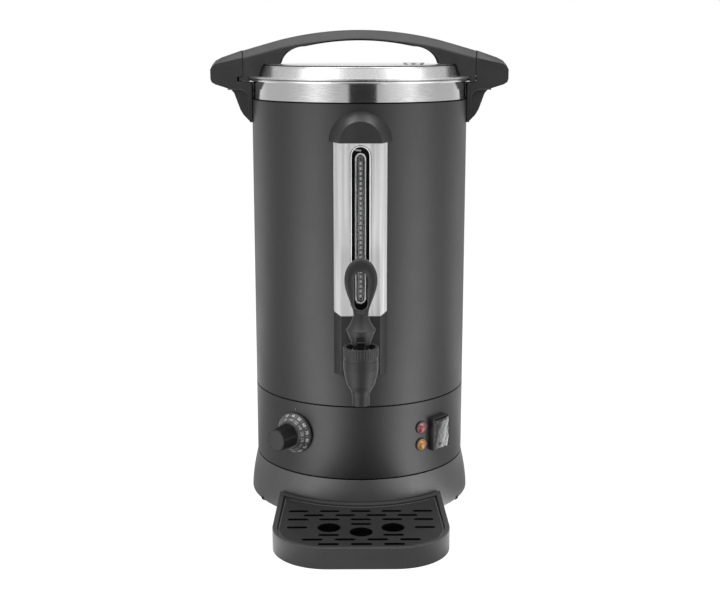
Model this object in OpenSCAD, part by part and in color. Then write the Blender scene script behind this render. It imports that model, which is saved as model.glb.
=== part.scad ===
// Hot water urn: a double-walled boiler with a bayonet lid, a level gauge, a self-closing tap,
// a thermostat and switch in the control band, and a loose drip tray.
// Millimetres. +Z is up, the front is -Y, and the origin is on the urn's axis at table height.

/* [Body] */
// Outer radius of the painted shell and of the control band
body_r = 108; // [104:0.5:112]
// Thickness of the painted steel sheet
sheet_t = 1; // [0.8:0.1:1.2]
// Height of the moulded base ring
base_h = 41.4; // [38:0.2:46]
// How far the base ring flares out past the shell
base_flare = 6; // [4.5:0.5:7]
// Wall of the moulded base ring
base_wall = 2.6; // [2.2:0.1:3]
// Height of the control band
band_h = 74.6; // [72:0.2:80]
// Height of the painted shell
shell_h = 292.2; // [288:0.2:320]
// Height of the dark seams between the stacked parts of the casing
seam_w = 1.2; // [0.8:0.1:1.6]
// Width of the notches in the foot of the base ring
notch_w = 6; // [4:0.5:8]
// Height of the notches in the foot of the base ring
notch_h = 3; // [2:0.5:4]

/* [Base] */
// Thickness of the bottom plate
plate_t = 1.2; // [1:0.1:1.5]
// Height of the rubber feet
foot_h = 3.2; // [3:0.1:4]
// Radius of the rubber feet
foot_r = 9; // [7:0.5:11]
// Distance of the base screws inside the shell's outer face
base_screw_in = 8.5; // [8:0.1:9.5]
// Radius of the base screws
base_screw_r = 1.75; // [1.5:0.05:2]
// Distance of the tie rods inside the shell's outer face
tie_in = 20; // [19:0.5:21]
// Radius of the tie rods
tie_r = 2.5; // [2:0.1:3]

/* [Tank] */
// Air gap between the tank and the painted shell
tank_gap = 7; // [6.5:0.1:8]
// Thickness of the stainless steel sheet
steel_t = 1; // [0.8:0.1:1.2]
// Height of the tank floor above the control band
tank_floor_up = 34; // [33:0.5:36]
// Radius of the bend between tank wall and floor
tank_bend = 6; // [5:0.2:6.4]
// Height of the bare steel neck above the painted shell
neck_h = 17.6; // [16:0.2:20]
// Step in from the painted shell to the neck
neck_step = 1.6; // [1.4:0.1:2]
// Height of the rolled rim
rim_h = 2.4; // [2:0.1:3]
// How far the rolled rim stands out from the neck
rim_out = 3.2; // [2.6:0.1:3.4]

/* [Heater] */
// Clearance between the heat spreader and the tie rods
spreader_clear = 7.5; // [5.5:0.5:15.5]
// Thickness of the heat spreader
spreader_t = 5; // [4:0.5:6]
// Radius of the heating element's ring
element_ring_r = 60; // [50:1:66]
// Radius of the heating element's rod
element_rod_r = 4; // [3.5:0.1:4.5]
// Length of the cold ends of the heating element
element_end_l = 14; // [12:1:16]
// Radius of the boil-dry disc
cutout_r = 9; // [8:0.5:10]
// Height of the boil-dry disc
cutout_h = 10; // [8:0.5:11]

/* [Lid] */
// Gap between the tank rim and the lid flange
lid_gap = 0.5; // [0.4:0.1:0.8]
// How far the lid flange stands out past the shell
lid_flange_out = 3; // [2.5:0.1:3.2]
// Thickness of the folded lid flange
lid_flange_t = 1.6; // [1.4:0.1:2]
// Step in from the shell to the foot of the raised lid
lid_inset = 9; // [8:0.5:10]
// Taper of the raised lid
lid_taper = 3; // [2:0.5:4]
// Height of the raised lid above its flange
lid_rise = 11.6; // [10:0.2:13]
// Depth of the skirt under the lid
lid_skirt = 8.5; // [7:0.5:10]
// Wall of the silicone lid seal
seal_t = 4; // [3:0.2:4.2]
// Radius of the vent cap on the lid
vent_r = 11; // [9:0.5:13]
// Height of the vent cap on the lid
vent_h = 1.8; // [1.4:0.1:2.2]
// Distance of the vent cap to the right of the axis
vent_x = 53; // [50:1:56]

/* [Lid handle] */
// Height of the handle's crown above the lid
arch_rise = 34; // [32:0.5:38]
// Thickness of the handle at its crown
arch_t = 9.8; // [8.5:0.1:11]
// Radius of the handle's curved top
arch_top_r = 330; // [315:5:345]
// Half length of the arch's curved stretch; it runs out straight
arch_bend = 92; // [88:1:98]
// Radius of the curve under the handle's crown
arch_under_r = 258; // [250:2:266]
// Half width of the lid handle and of the side handles
handle_half_w = 18; // [16:0.5:20]
// Width of the bevel along the top of the handles
handle_bevel = 8; // [6:0.5:9]
// Radius of the round ends of the finger window
window_end_r = 20; // [18:0.5:20]
// Width of the handle's legs where they stand on the lid
handle_leg_w = 40.5; // [39.5:0.2:42.5]
// Distance of the handle's end face past the shell
handle_seam_out = 8.5; // [8.1:0.1:9]
// Width of the gap between lid handle and side handle
handle_seam_w = 1.2; // [0.8:0.1:1.5]
// Reach of the locking tongue
tongue_reach = 4.2; // [3.4:0.1:4.6]
// Height of the locking tongue
tongue_h = 3.6; // [3:0.1:3.8]
// Radius of the lid screws
lid_screw_r = 2; // [1.6:0.1:2.4]
// Distance of the lid screws in from the edge of the raised lid
lid_screw_in = 11; // [10:0.5:12]
// Length of the lid screws
lid_screw_l = 9; // [7:0.5:10]

/* [Side handles] */
// Reach of the side handles past the shell
grip_reach = 40; // [37:0.5:46]
// Height of the grip's blunt end
grip_end_h = 13; // [10:0.5:15]
// Slope of the grip's top, in degrees
grip_slope = 19; // [17:0.5:21]
// Height of the mounting plate on the shell
bracket_h = 39; // [36:0.5:44]
// Thickness of the mounting plate
bracket_t = 3.1; // [2.6:0.1:3.8]
// Radius of the fillet between the plate and the grip
grip_fillet = 8.5; // [6:0.5:9.5]
// Half width of the recessed web under the grip
web_half_w = 14; // [12:0.5:15]
// Radius of the handle screws
handle_screw_r = 2; // [1.6:0.1:2.4]

/* [Level gauge] */
// Height of the steel cover's foot above the control band
gauge_up = 95.2; // [94:0.2:98]
// Distance from the steel cover's top to the top of the shell
gauge_down = 35.1; // [33:0.1:39]
// How far the cover stands out from the shell
gauge_out = 20; // [19:0.1:21]
// Half width of the cover's flat front
gauge_front_w = 18.7; // [18:0.1:19.5]
// Half width of the cover against the shell
gauge_back_w = 25.3; // [24.5:0.1:26]
// Half width of the viewing slot
slot_half_w = 8.2; // [7.6:0.1:8.8]
// Distance from the slot's ends to the cover's ends
slot_margin = 5.4; // [4.6:0.1:6.5]
// Radius of the sight glass
glass_r = 5.2; // [4.8:0.1:5.5]
// Bore radius of the sight glass
glass_bore_r = 3.6; // [3:0.1:3.9]
// Distance from the slot's ends to the ends of the sight glass
glass_margin = 6; // [5:0.2:7]
// Radius of the sight glass's two stems
stem_pipe_r = 3; // [2.6:0.1:3.3]
// Radius of the cap's round front
cap_front_r = 20; // [19.5:0.1:21]
// Radius of the cap against the shell
cap_back_r = 28; // [27:0.1:29]
// Height of the lower housing
housing_h = 62; // [60:0.5:64]
// Wall of the plastic covers
cover_wall = 2.4; // [2:0.1:2.8]

/* [Tap] */
// Distance of the tap's axis from the shell
tap_out = 47; // [46:0.5:50]
// Height of the tap's shank above the tank floor
shank_up = 17.4; // [17.4:0.2:20]
// Radius of the spout
spout_r = 8.2; // [7.8:0.1:8.6]
// Bore radius of the spout
spout_bore_r = 5.5; // [5:0.1:6]
// Length of the straight spout
spout_l = 9; // [7:0.5:10]
// Height of the tap body
tap_body_h = 43.4; // [42:0.2:45]
// Radius of the tap body at its collar
tap_r = 16.2; // [15.6:0.1:17]
// Wall of the tap body around its chamber
tap_wall = 4.6; // [4:0.1:5]
// Height of the ribbed collar
collar_h = 12.2; // [11:0.2:13]
// Number of ribs on the collar
collar_ribs = 30; // [20:2:40]
// Outer radius of the threaded shank
shank_r = 8; // [7.5:0.1:8.5]
// Bore radius of the shank
shank_bore_r = 5; // [4.5:0.1:5.5]
// Radius of the valve stem
valve_stem_r = 3; // [2.6:0.1:3.2]
// Radius of the valve's silicone cup
cup_r = 8.5; // [8:0.1:9]
// Lift of the valve when the lever is pulled
valve_lift = 4; // [3:0.2:4.4]
// Radius of the lever's cross pin
lever_pin_r = 1.5; // [1.3:0.1:1.7]
// Height of the lever above its pin
lever_h = 86.5; // [80:0.5:90]
// Length of the lever's paddle above its waist
paddle_l = 51.5; // [50:0.5:53]
// Length of the paddle's round end
paddle_round = 20.5; // [18:0.5:23]
// Half width of the lever's paddle
lever_half_w = 15.3; // [14:0.1:16.5]
// Largest radius of the lever's barrel
barrel_r = 13.8; // [13:0.1:14.4]
// Radius of the barrel's foot
barrel_foot_r = 8.8; // [8.4:0.1:9.4]
// Half width of the lever's waist
lever_waist = 7; // [6.8:0.1:7.4]
// Half width of the lever's finger hole
lever_hole_w = 6; // [5:0.1:6.4]

/* [Controls] */
// Height of the dial's centre
dial_z = 83.5; // [80:0.5:86]
// Azimuth of the dial, in degrees, negative to the left of the front
dial_az = -36.5; // [-40:0.5:-34]
// Radius of the dial's skirt
dial_r = 20.4; // [18:0.2:22]
// Height of the dial's flared skirt
dial_h = 12; // [10:0.5:13]
// Number of flats around the knob's foot
knob_flats = 8; // [6:1:10]
// Radius of the knob's foot, over its corners
knob_foot_r = 12.4; // [11.6:0.2:12.8]
// Radius of the knob's round face
knob_face_r = 10.8; // [9.5:0.1:11.5]
// Length of the knob's grip
knob_l = 19; // [17:0.5:22]
// Width of the thermostat's box
thermostat_w = 34; // [30:1:36]
// Height of the thermostat's box
thermostat_h = 30; // [26:1:32]
// Depth of the thermostat's box
thermostat_d = 20; // [18:0.5:21]
// Radius of the thermostat's sensing bulb
bulb_r = 3; // [2.5:0.1:3]
// Length of the thermostat's sensing bulb
bulb_l = 46; // [40:1:60]
// Radius of the thermostat's shaft
shaft_r = 3; // [2.8:0.1:3.2]
// Azimuth of the pilot lamps, in degrees
lamp_az = 34.2; // [32:0.2:35]
// Height of the upper, red lamp
lamp_red_z = 89.1; // [87:0.1:92]
// Height of the lower, amber lamp
lamp_amber_z = 71.7; // [68:0.1:74]
// Radius of the lamp lenses
lamp_r = 5.4; // [5:0.1:5.7]
// Azimuth of the mains switch, in degrees
switch_az = 46; // [45.6:0.2:48]
// Height of the mains switch's centre
switch_z = 80.4; // [78:0.2:84]
// Width of the clear switch boot
boot_w = 25; // [24.6:0.1:26]
// Height of the clear switch boot
boot_h = 34; // [33.4:0.2:36]
// How far the clear switch boot stands out
boot_out = 6.6; // [6.4:0.1:7.4]
// Half swing of the rocker, in degrees
rocker_tilt = 9; // [7:0.5:9.5]
// Azimuth of the reset button, in degrees
reset_az = 150; // [145:1:155]
// Radius of the reset button
reset_r = 3; // [2.6:0.1:3.4]
// Travel of the reset button
reset_travel = 1.5; // [1:0.1:1.8]
// Width of the terminal block
terminal_w = 48; // [36:1:54]
// Depth of the terminal block
terminal_d = 18; // [15:0.5:22]
// Height of the terminal block
terminal_h = 16; // [12:0.5:20]
// Height of the cable gland's axis
gland_z = 66; // [62:0.5:70]
// Bore radius of the cable gland
gland_bore_r = 3.75; // [3.4:0.05:4]

/* [Drip tray] */
// How far the tray stands out in front of the base ring
tray_reach = 112; // [104:1:120]
// Half width of the tray across its corners
tray_half_w = 83; // [80:0.5:86]
// Half width of the tray at the urn
tray_back_w = 80; // [78:0.5:82]
// Radius of the tray's front corners
tray_corner_r = 52; // [48:1:56]
// Height of the tray
tray_h = 20; // [18:0.5:24]
// Width of the tray's rim
tray_rim_w = 4.6; // [4:0.2:5.4]
// Thickness of the tray's floor
tray_floor_t = 2; // [1.6:0.1:2.6]
// Depth of the grate below the rim
grate_drop = 1.8; // [1:0.1:2.5]
// Thickness of the grate
grate_t = 2.4; // [2:0.1:3]
// Width of the dark shelf between grate and urn
grate_back_gap = 6.4; // [5.5:0.1:8]
// Radius of the grate's round holes
grate_hole_r = 11; // [9:0.5:12]
// Length of the grate's slots
grate_slot_l = 19.2; // [16:0.2:21]
// Width of the grate's slots
grate_slot_w = 3; // [2.2:0.1:3.6]
// Spacing of the grate's slots along a row
grate_pitch = 30; // [28:0.5:31]

/* [Hidden] */
$fn = 96;

// Clearances
free = 0.3;          // between parts that pass each other
run = 0.05;          // radial, of a shaft that turns in its hole
cut = 1;             // how far a cutter runs past the face it opens

// Heights of the casing
band_z0 = base_h;
band_z1 = band_z0 + band_h;
shell_top = band_z1 + shell_h;
spigot = 8;          // how far a joint ring reaches into each shell
spigot_wall = 2.2;
spigot_r = body_r - sheet_t - 0.2;
base_r = body_r + base_flare;
band_in = body_r - sheet_t;

// Base
web_z0 = foot_h + plate_t;
web_t = 2.5;
web_r = body_r - 13;
foot_rim_r = body_r - 1;    // outer radius of the inner rim that stands on the table
foot_rim_w = 3;
boss_h = 11;
boss_r = 4.5;
base_screw_circle = body_r - base_screw_in;
tie_circle = body_r - tie_in;
plate_vents = [38, 54];     // radii of the two rings of slots in the bottom plate
terminal_y = 50;
screw_az = 25;       // turns the four base screws away from the tray's tongue
notch_az = [-118, -62, 62, 118];
tongue_half_w = 30;  // tray tongue under the base
tongue_t = 2.4;
tongue_z0 = 0.5;
tongue_end = tie_circle;
screw_head_h = 1.8;

// Tank and lid
tank_r = body_r - sheet_t - tank_gap;
tank_floor = band_z1 + tank_floor_up;
neck_r = body_r - neck_step;
shoulder_z0 = shell_top - 13;
shoulder_z1 = shell_top - 5;
rim_z0 = shell_top + neck_h;
rim_z1 = rim_z0 + rim_h;
rim_r = neck_r + rim_out;
flange_r = body_r + lid_flange_out;
flange_z0 = rim_z1 + lid_gap;
flange_z1 = flange_z0 + lid_flange_t;
lid_foot_r = body_r - lid_inset;
lid_top_r = lid_foot_r - lid_taper;
lid_top = flange_z1 + lid_rise;
seal_r = neck_r - steel_t - free;
skirt_r = seal_r - seal_t - free;
lid_edge_r = 2.5;
lid_screw_x = lid_top_r - lid_screw_in;

// Heater
spreader_r = tie_circle - tie_r - spreader_clear;
spreader_z0 = tank_floor - spreader_t;
element_z = spreader_z0 - element_rod_r;
element_gap = 34;    // opening of the element's ring, in degrees
shield_z = band_z1 - spigot + 2;

// Handles
arch_top = lid_top + arch_rise;
seam_r = body_r + handle_seam_out;
window_half_l = seam_r - handle_leg_w;
ledge_z = rim_z0 - 1.6;
block_z = ledge_z + 1.1;
tongue_z = block_z + 0.6;
side_r = seam_r + handle_seam_w;
grip_tip = body_r + grip_reach;
grip_round = 10.8;   // length of the grip's rounded end
grip_floor = ledge_z - 7;
screw_bite = 1.8;    // how far the handle screws reach past the plate
handle_screw_x = band_in - 0.9;
handle_screw_l = body_r + bracket_t + screw_bite - handle_screw_x;

// Gauge and tap
gauge_z0 = band_z1 + gauge_up;
gauge_z1 = shell_top - gauge_down;
gauge_h = gauge_z1 - gauge_z0;
gauge_y = -(body_r + gauge_out);
gauge_back_y = -sqrt(pow(body_r, 2) - pow(gauge_back_w, 2));
slot_z0 = gauge_z0 + slot_margin + slot_half_w;
slot_z1 = gauge_z1 - slot_margin - slot_half_w + 2;
glass_z0 = gauge_z0 + slot_margin + glass_margin + glass_r;
glass_z1 = gauge_z1 - slot_margin + 2 - glass_margin - glass_r;
glass_y = gauge_y + 2.2 + glass_r;
backing_y = glass_y + glass_r + 0.3;
pipe_z = [glass_z0 + 4, glass_z1 - 4];
tap_y = -(body_r + tap_out);
shank_z = tank_floor + shank_up;
chamber_z = shank_z - 9.2;
spout_z = chamber_z - 25.4;
tap_top = spout_z + tap_body_h;
collar_top = tap_top + collar_h;
chamber_r = tap_r - tap_wall;
collar_r = tap_r + 0.4;
collar_floor = 3;
pin_z = collar_top - 3.4;
eye_half_w = 3.6;
prong_t = 3.2;
waist_z = lever_h - paddle_l;
barrel_z0 = 6;              // the barrel's foot and its widest ring, above the pin
barrel_z1 = 19.6;
housing_z0 = gauge_z0 - housing_h;

// Controls
switch_w = 19.6;     // the switch's box behind the band
switch_h = 27.8;
bezel_t = 2;
boot_wall = 1.2;
rocker_pivot = -2;   // depth of the rocker's pivot below the band's face
bush_out = 2.2;      // how far the thermostat's bush stands out of the band
bush_r = 5;
capillary_r = 1;
hub_r = 9;           // the knob's hub, which carries the dial's skirt
hub_z = 3.4;
lamp_bezel_w = 1.2;

// Drip tray
tray_back_r = base_r + 0.4;
tray_front = base_r + tray_reach;
corner_x = tray_half_w - tray_corner_r;
corner_y = -(tray_front - tray_corner_r);
grate_z1 = tray_h - grate_drop;
grate_z0 = grate_z1 - grate_t;
grate_back_r = tray_back_r + grate_back_gap;
hole_y = corner_y + 1;

// ---------- shared shapes ----------

// A plain tube about Z
module tube(r_out, r_in, z0, z1) {
    translate([0, 0, z0]) difference() {
        cylinder(r = r_out, h = z1 - z0);
        translate([0, 0, -cut]) cylinder(r = r_in, h = z1 - z0 + 2 * cut);
    }
}

// Places children on the casing: local +Z points outwards, +Y up, +X to the right
module on_casing(az, r, z) {
    rotate([0, 0, az]) translate([0, -r, z]) rotate([90, 0, 0]) children();
}

// A hole through the casing's wall, along the local axis
module wall_hole(az, z, r) {
    on_casing(az, band_in - 12, z) cylinder(r = r, h = sheet_t + 24);
}

// A slot with round ends along X, cut through Z
module slot_x(l, w, h) {
    for (x = [-1, 1]) translate([x * (l - w) / 2, 0, 0]) cylinder(r = w / 2, h = h, $fn = 24);
    translate([-(l - w) / 2, -w / 2, 0]) cube([l - w, w, h]);
}

// A slot with round ends along Z, cut along Y
module slot_z(half_w, z0, z1, y0, y1) {
    for (z = [z0, z1]) translate([0, y1, z]) rotate([90, 0, 0])
        cylinder(r = half_w, h = y1 - y0, $fn = 48);
    translate([-half_w, y0, z0]) cube([2 * half_w, y1 - y0, z1 - z0]);
}

module hex_nut(r, bore, h) {
    difference() {
        cylinder(r = r, h = h, $fn = 6);
        translate([0, 0, -cut]) cylinder(r = bore, h = h + 2 * cut, $fn = 48);
    }
}

// A pan-head screw: the head's underside is at z = 0, the shank runs up
module pan_screw(r, l) {
    translate([0, 0, -screw_head_h]) cylinder(r = 2 * r, h = screw_head_h, $fn = 48);
    cylinder(r = r, h = l, $fn = 48);
}

// ---------- base ----------

module base_profile() {
    steps = 8;
    top = base_h - seam_w / 2;
    outer = [for (i = [0:steps]) let (t = i / steps)
        [base_r - base_flare * pow(t, 1.6), 1.5 + t * (top - 1.5)]];
    inner = [for (i = [steps:-1:0]) let (t = i / steps)
        [base_r - base_wall - base_flare * pow(t, 1.6), 1.5 + t * (top - base_wall - 1.5)]];
    polygon(concat([[base_r - 1.2, 0.4]], outer, [
        [body_r - 0.7, top],
        [body_r - 0.7, base_h + seam_w / 2],
        [spigot_r, base_h + seam_w / 2],
        [spigot_r, base_h + spigot],
        [spigot_r - spigot_wall, base_h + spigot],
        [spigot_r - spigot_wall, top - base_wall]], inner,
        [[base_r - base_wall, 0.4]]));
}

module base_ring() {
    color("#3a3a3a") difference() {
        union() {
            rotate_extrude() base_profile();
            tube(base_r - base_wall / 2, web_r, web_z0, web_z0 + web_t);
            tube(foot_rim_r, foot_rim_r - foot_rim_w, 0, web_z0 + web_t / 2);
            for (a = [0:90:270]) rotate([0, 0, a + screw_az]) translate([0, -base_screw_circle, web_z0])
                cylinder(r = boss_r, h = boss_h);
        }
        for (a = [0:90:270]) rotate([0, 0, a + screw_az])
            translate([0, -base_screw_circle, web_z0 - cut])
            cylinder(r = base_screw_r + 0.02, h = boss_h - 1);
        for (a = notch_az) rotate([0, 0, a])
            translate([-notch_w / 2, -base_r - cut, -cut]) cube([notch_w, base_wall + 2.4, notch_h + cut]);
        translate([-tongue_half_w - 1, -base_r - cut, -cut])
            cube([2 * tongue_half_w + 2, base_r - tongue_end, foot_h + cut]);
    }
}

module bottom_plate() {
    color("#8c8f92") difference() {
        translate([0, 0, foot_h]) cylinder(r = foot_rim_r - foot_rim_w - free, h = plate_t);
        for (a = [0:90:270]) rotate([0, 0, a + screw_az]) translate([0, -base_screw_circle, 0])
            cylinder(r = base_screw_r + 0.2, h = 20);
        for (a = [60:120:300]) rotate([0, 0, a]) translate([0, -tie_circle, 0])
            cylinder(r = tie_r + 0.2, h = 20);
        for (a = [0:30:330], r = plate_vents) rotate([0, 0, a]) translate([0, -r, foot_h - cut])
            slot_x(14, 3, plate_t + 2 * cut);
    }
}

module base_screws() {
    color("#c9ccd0") for (a = [0:90:270]) rotate([0, 0, a + screw_az])
        translate([0, -base_screw_circle, foot_h]) pan_screw(base_screw_r, boss_h - 2);
}

module rubber_feet() {
    color("#202020") for (a = [45:90:315]) rotate([0, 0, a])
        translate([0, -tie_circle - 3, 0]) cylinder(r = foot_r, h = foot_h);
}

module tie_rods() {
    color("#b8bcc0") for (a = [60:120:300]) rotate([0, 0, a])
        translate([0, -tie_circle, foot_h - 1.2])
            cylinder(r = tie_r, h = tank_floor - foot_h + 1.2, $fn = 48);
}

module tie_nuts() {
    color("#a9adb2") for (a = [60:120:300]) rotate([0, 0, a])
        translate([0, -tie_circle, foot_h - 2.2]) hex_nut(tie_r + 2.4, tie_r + 0.02, 2.2);
}

// ---------- casing ----------

module control_band() {
    color("#404142") difference() {
        tube(body_r, band_in, band_z0 + seam_w / 2, band_z1 - seam_w / 2);
        wall_hole(dial_az, dial_z, bush_r + 0.2);
        for (z = [lamp_red_z, lamp_amber_z]) wall_hole(lamp_az, z, lamp_r - 0.9);
        on_casing(switch_az, band_in - 8, switch_z) translate([0, 0, 8])
            cube([switch_w + 0.4, switch_h + 0.4, 16], center = true);
        wall_hole(reset_az, switch_z, reset_r + 1.7);
        wall_hole(180, gland_z, gland_bore_r + 2.6);
    }
}

module joint_ring() {
    color("#1d1d1d") {
        tube(spigot_r, spigot_r - spigot_wall, band_z1 - spigot, band_z1 + spigot);
        tube(body_r - 0.7, spigot_r - 0.5, band_z1 - seam_w / 2, band_z1 + seam_w / 2);
        tube(spigot_r - spigot_wall / 2, tie_circle + 8, band_z1 - spigot, shield_z);
    }
}

module heat_shield() {
    color("#b4b7bb") difference() {
        translate([0, 0, shield_z]) cylinder(r = spigot_r - spigot_wall - free, h = 0.8);
        for (a = [60:120:300]) rotate([0, 0, a]) translate([0, -tie_circle, shield_z - cut])
            cylinder(r = tie_r + 0.3, h = 4);
        rotate([0, 0, dial_az]) translate([0, -tie_circle, shield_z - cut])
            cylinder(r = capillary_r + 2, h = 4);
        translate([0, 40, shield_z - cut]) cylinder(r = 9, h = 4);
    }
}

module body_shell() {
    color("#404142") difference() {
        tube(body_r, band_in, band_z1 + seam_w / 2, shell_top - seam_w / 2);
        wall_hole(0, shank_z, shank_r + 0.6);
        for (z = pipe_z) wall_hole(0, z, stem_pipe_r + 0.6);
        at_handle_screws() translate([0, 0, -cut]) cylinder(r = handle_screw_r + free, h = 6);
    }
}

module neck_seal() {
    color("#151515") {
        tube(band_in - 0.05, neck_r + 0.05, shell_top - 4.5, shell_top - seam_w / 2);
        tube(body_r - 0.5, neck_r + 0.05, shell_top - seam_w / 2, shell_top + seam_w / 2);
    }
}

// ---------- tank and heater ----------

// One side of the tank's sheet, from the floor's centre up to the rim
function tank_side(r, z, bend, neck) = concat(
    [[0, z]],
    [for (a = [0:15:90]) [r - bend + bend * sin(a), z + bend - bend * cos(a)]],
    [[r, shoulder_z0], [neck, shoulder_z1]]);

module tank_profile() {
    bead = rim_h / 2;
    outer = tank_side(tank_r, tank_floor, tank_bend, neck_r);
    inner = tank_side(tank_r - steel_t, tank_floor + steel_t, tank_bend - steel_t, neck_r - steel_t);
    polygon(concat(outer,
        [[neck_r, rim_z0], [rim_r - bead, rim_z0]],
        [for (a = [-60:30:60]) [rim_r - bead + bead * cos(a), rim_z0 + bead + bead * sin(a)]],
        [[rim_r - bead, rim_z1], [neck_r - steel_t, rim_z1]],
        [for (i = [len(inner) - 1:-1:0]) inner[i]]));
}

module inner_tank() {
    color("#d5d8da") difference() {
        rotate_extrude() tank_profile();
        on_casing(0, tank_r - 12, shank_z) cylinder(r = shank_r + 0.3, h = 24);
        for (z = pipe_z) on_casing(0, tank_r - 12, z) cylinder(r = stem_pipe_r + 0.3, h = 24);
    }
}

module heat_spreader() {
    color("#c2c5c8") translate([0, 0, spreader_z0]) cylinder(r = spreader_r, h = spreader_t);
}

module heating_element() {
    end_a = element_gap / 2;
    color("#9da0a4") {
        translate([0, 0, element_z]) rotate([0, 0, 90 + end_a])
            rotate_extrude(angle = 360 - element_gap) translate([element_ring_r, 0])
            circle(r = element_rod_r, $fn = 32);
        for (a = [-end_a, end_a]) rotate([0, 0, 90 + a])
            translate([element_ring_r, 0, element_z - element_end_l])
            cylinder(r = element_rod_r, h = element_end_l, $fn = 32);
    }
}

module boil_dry_disc() {
    color("#7a5a3c") {
        translate([0, 0, spreader_z0 - cutout_h]) cylinder(r = cutout_r, h = cutout_h);
        for (x = [-1, 1]) translate([x * 4 - 1.5, -0.4, spreader_z0 - cutout_h - 8])
            cube([3, 0.8, 8]);
    }
}

// ---------- level gauge ----------

// The cover's section: a flat front with sides that spread towards the shell
module gauge_section(inset) {
    polygon([
        [-gauge_back_w + inset * 1.05, gauge_back_y + 3], [-gauge_back_w + inset * 1.05, gauge_back_y],
        [-gauge_front_w + inset * 0.75, gauge_y + inset], [gauge_front_w - inset * 0.75, gauge_y + inset],
        [gauge_back_w - inset * 1.05, gauge_back_y], [gauge_back_w - inset * 1.05, gauge_back_y + 3]]);
}

// The space outside the shell, for parts that lie against it
module off_shell(z0, z1) {
    difference() {
        children();
        translate([0, 0, z0]) cylinder(r = body_r + 0.02, h = z1 - z0, $fn = 180);
    }
}

module gauge_cover() {
    color("#d9dbdd") off_shell(gauge_z0 - cut, gauge_z1 + cut) difference() {
        union() {
            difference() {
                translate([0, 0, gauge_z0]) linear_extrude(gauge_h) gauge_section(0);
                translate([0, 0, gauge_z0 - cut]) linear_extrude(gauge_h + 2 * cut)
                    gauge_section(steel_t);
            }
            slot_z(slot_half_w + steel_t, slot_z0, slot_z1, gauge_y + steel_t / 2, gauge_y + 2);
        }
        slot_z(slot_half_w, slot_z0, slot_z1, gauge_y - cut, gauge_y + 4);
    }
}

module gauge_cap() {
    depth = gauge_out + 6;
    taper = (cap_back_r - cap_front_r) / gauge_out;
    color("#2e2e2e") off_shell(gauge_z1 - 30, gauge_z1 + 40) difference() {
        translate([0, 0, gauge_z1]) rotate([90, 0, 0]) translate([0, 0, body_r - 6])
            cylinder(r1 = cap_back_r + 6 * taper, r2 = cap_front_r, h = depth + 0.6);
        translate([0, 0, gauge_z1]) rotate([90, 0, 0]) translate([0, 0, body_r - 7])
            cylinder(r1 = cap_back_r + 7 * taper - cover_wall, r2 = cap_front_r - cover_wall,
                h = depth + 1.6 - cover_wall);
        translate([-50, -body_r - 60, gauge_z1 - 50]) cube([100, 100, 50]);
    }
}

module gauge_housing() {
    foot = 14;
    lean_in = 8;
    block = 30;
    color("#2e2e2e") off_shell(housing_z0 - cut, gauge_z0 + cut) difference() {
        translate([0, 0, housing_z0]) linear_extrude(housing_h) gauge_section(0);
        translate([0, 0, housing_z0 + cover_wall]) linear_extrude(housing_h)
            gauge_section(cover_wall);
        for (s = [-1, 1]) translate([s * gauge_back_w, gauge_y - cut, housing_z0])
            rotate([0, s * 38, 0]) translate([s > 0 ? -lean_in : lean_in - block, 0, -20])
            cube([block, 40, 20]);
        translate([0, gauge_y - cut, shank_z]) rotate([-90, 0, 0])
            cylinder(r = shank_r + 2.4, h = foot);
    }
}

module gauge_backing() {
    w = slot_half_w + 5;
    color("#161616") difference() {
        translate([-w, backing_y, gauge_z0]) cube([2 * w, 1.6, gauge_h]);
        for (z = pipe_z) translate([0, backing_y - cut, z]) rotate([-90, 0, 0])
            cylinder(r = stem_pipe_r + 0.1, h = 5);
    }
}

module gauge_scale() {
    marks = 12;
    l = pipe_z[1] - pipe_z[0] - 16;
    color("#e8e8e4") difference() {
        translate([-1.4, glass_y + glass_bore_r - 1.4, pipe_z[0] + 8]) cube([2.8, 0.7, l]);
        for (i = [1:marks - 1]) translate([-2, glass_y + glass_bore_r - 1.6, pipe_z[0] + 8 + i * l / marks])
            cube([2.2, 0.5, 0.8]);
    }
}

// A clear capsule with a stem at each end that leads back into the tank
module sight_glass() {
    back = -(tank_r - 6);
    color([0.85, 0.9, 0.92, 0.4]) difference() {
        union() {
            translate([0, glass_y, glass_z0]) cylinder(r = glass_r, h = glass_z1 - glass_z0);
            for (z = [glass_z0, glass_z1]) translate([0, glass_y, z]) sphere(r = glass_r, $fn = 48);
            for (z = pipe_z) translate([0, back, z]) rotate([90, 0, 0])
                cylinder(r = stem_pipe_r, h = back - glass_y);
        }
        translate([0, glass_y, glass_z0]) cylinder(r = glass_bore_r, h = glass_z1 - glass_z0);
        for (z = pipe_z) translate([0, back + cut, z]) rotate([90, 0, 0])
            cylinder(r = stem_pipe_r - 1.2, h = back - glass_y);
    }
}

module gauge_grommets() {
    color("#b33a2c") difference() {
        for (z = pipe_z) on_casing(0, tank_r - 2, z) difference() {
            cylinder(r = stem_pipe_r + 3, h = 2 + tank_gap - 1.2);
            translate([0, 0, -cut]) cylinder(r = stem_pipe_r + 0.02, h = 30);
        }
        translate([0, 0, pipe_z[0] - 20]) cylinder(r = tank_r + 0.02, h = gauge_h, $fn = 180);
    }
}

module gauge_nuts() {
    color("#c9b26a") for (z = pipe_z) on_casing(0, tank_r - steel_t - 4.6, z)
        hex_nut(stem_pipe_r + 2.8, stem_pipe_r + 0.02, 4.4);
}

// ---------- tap ----------

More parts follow.
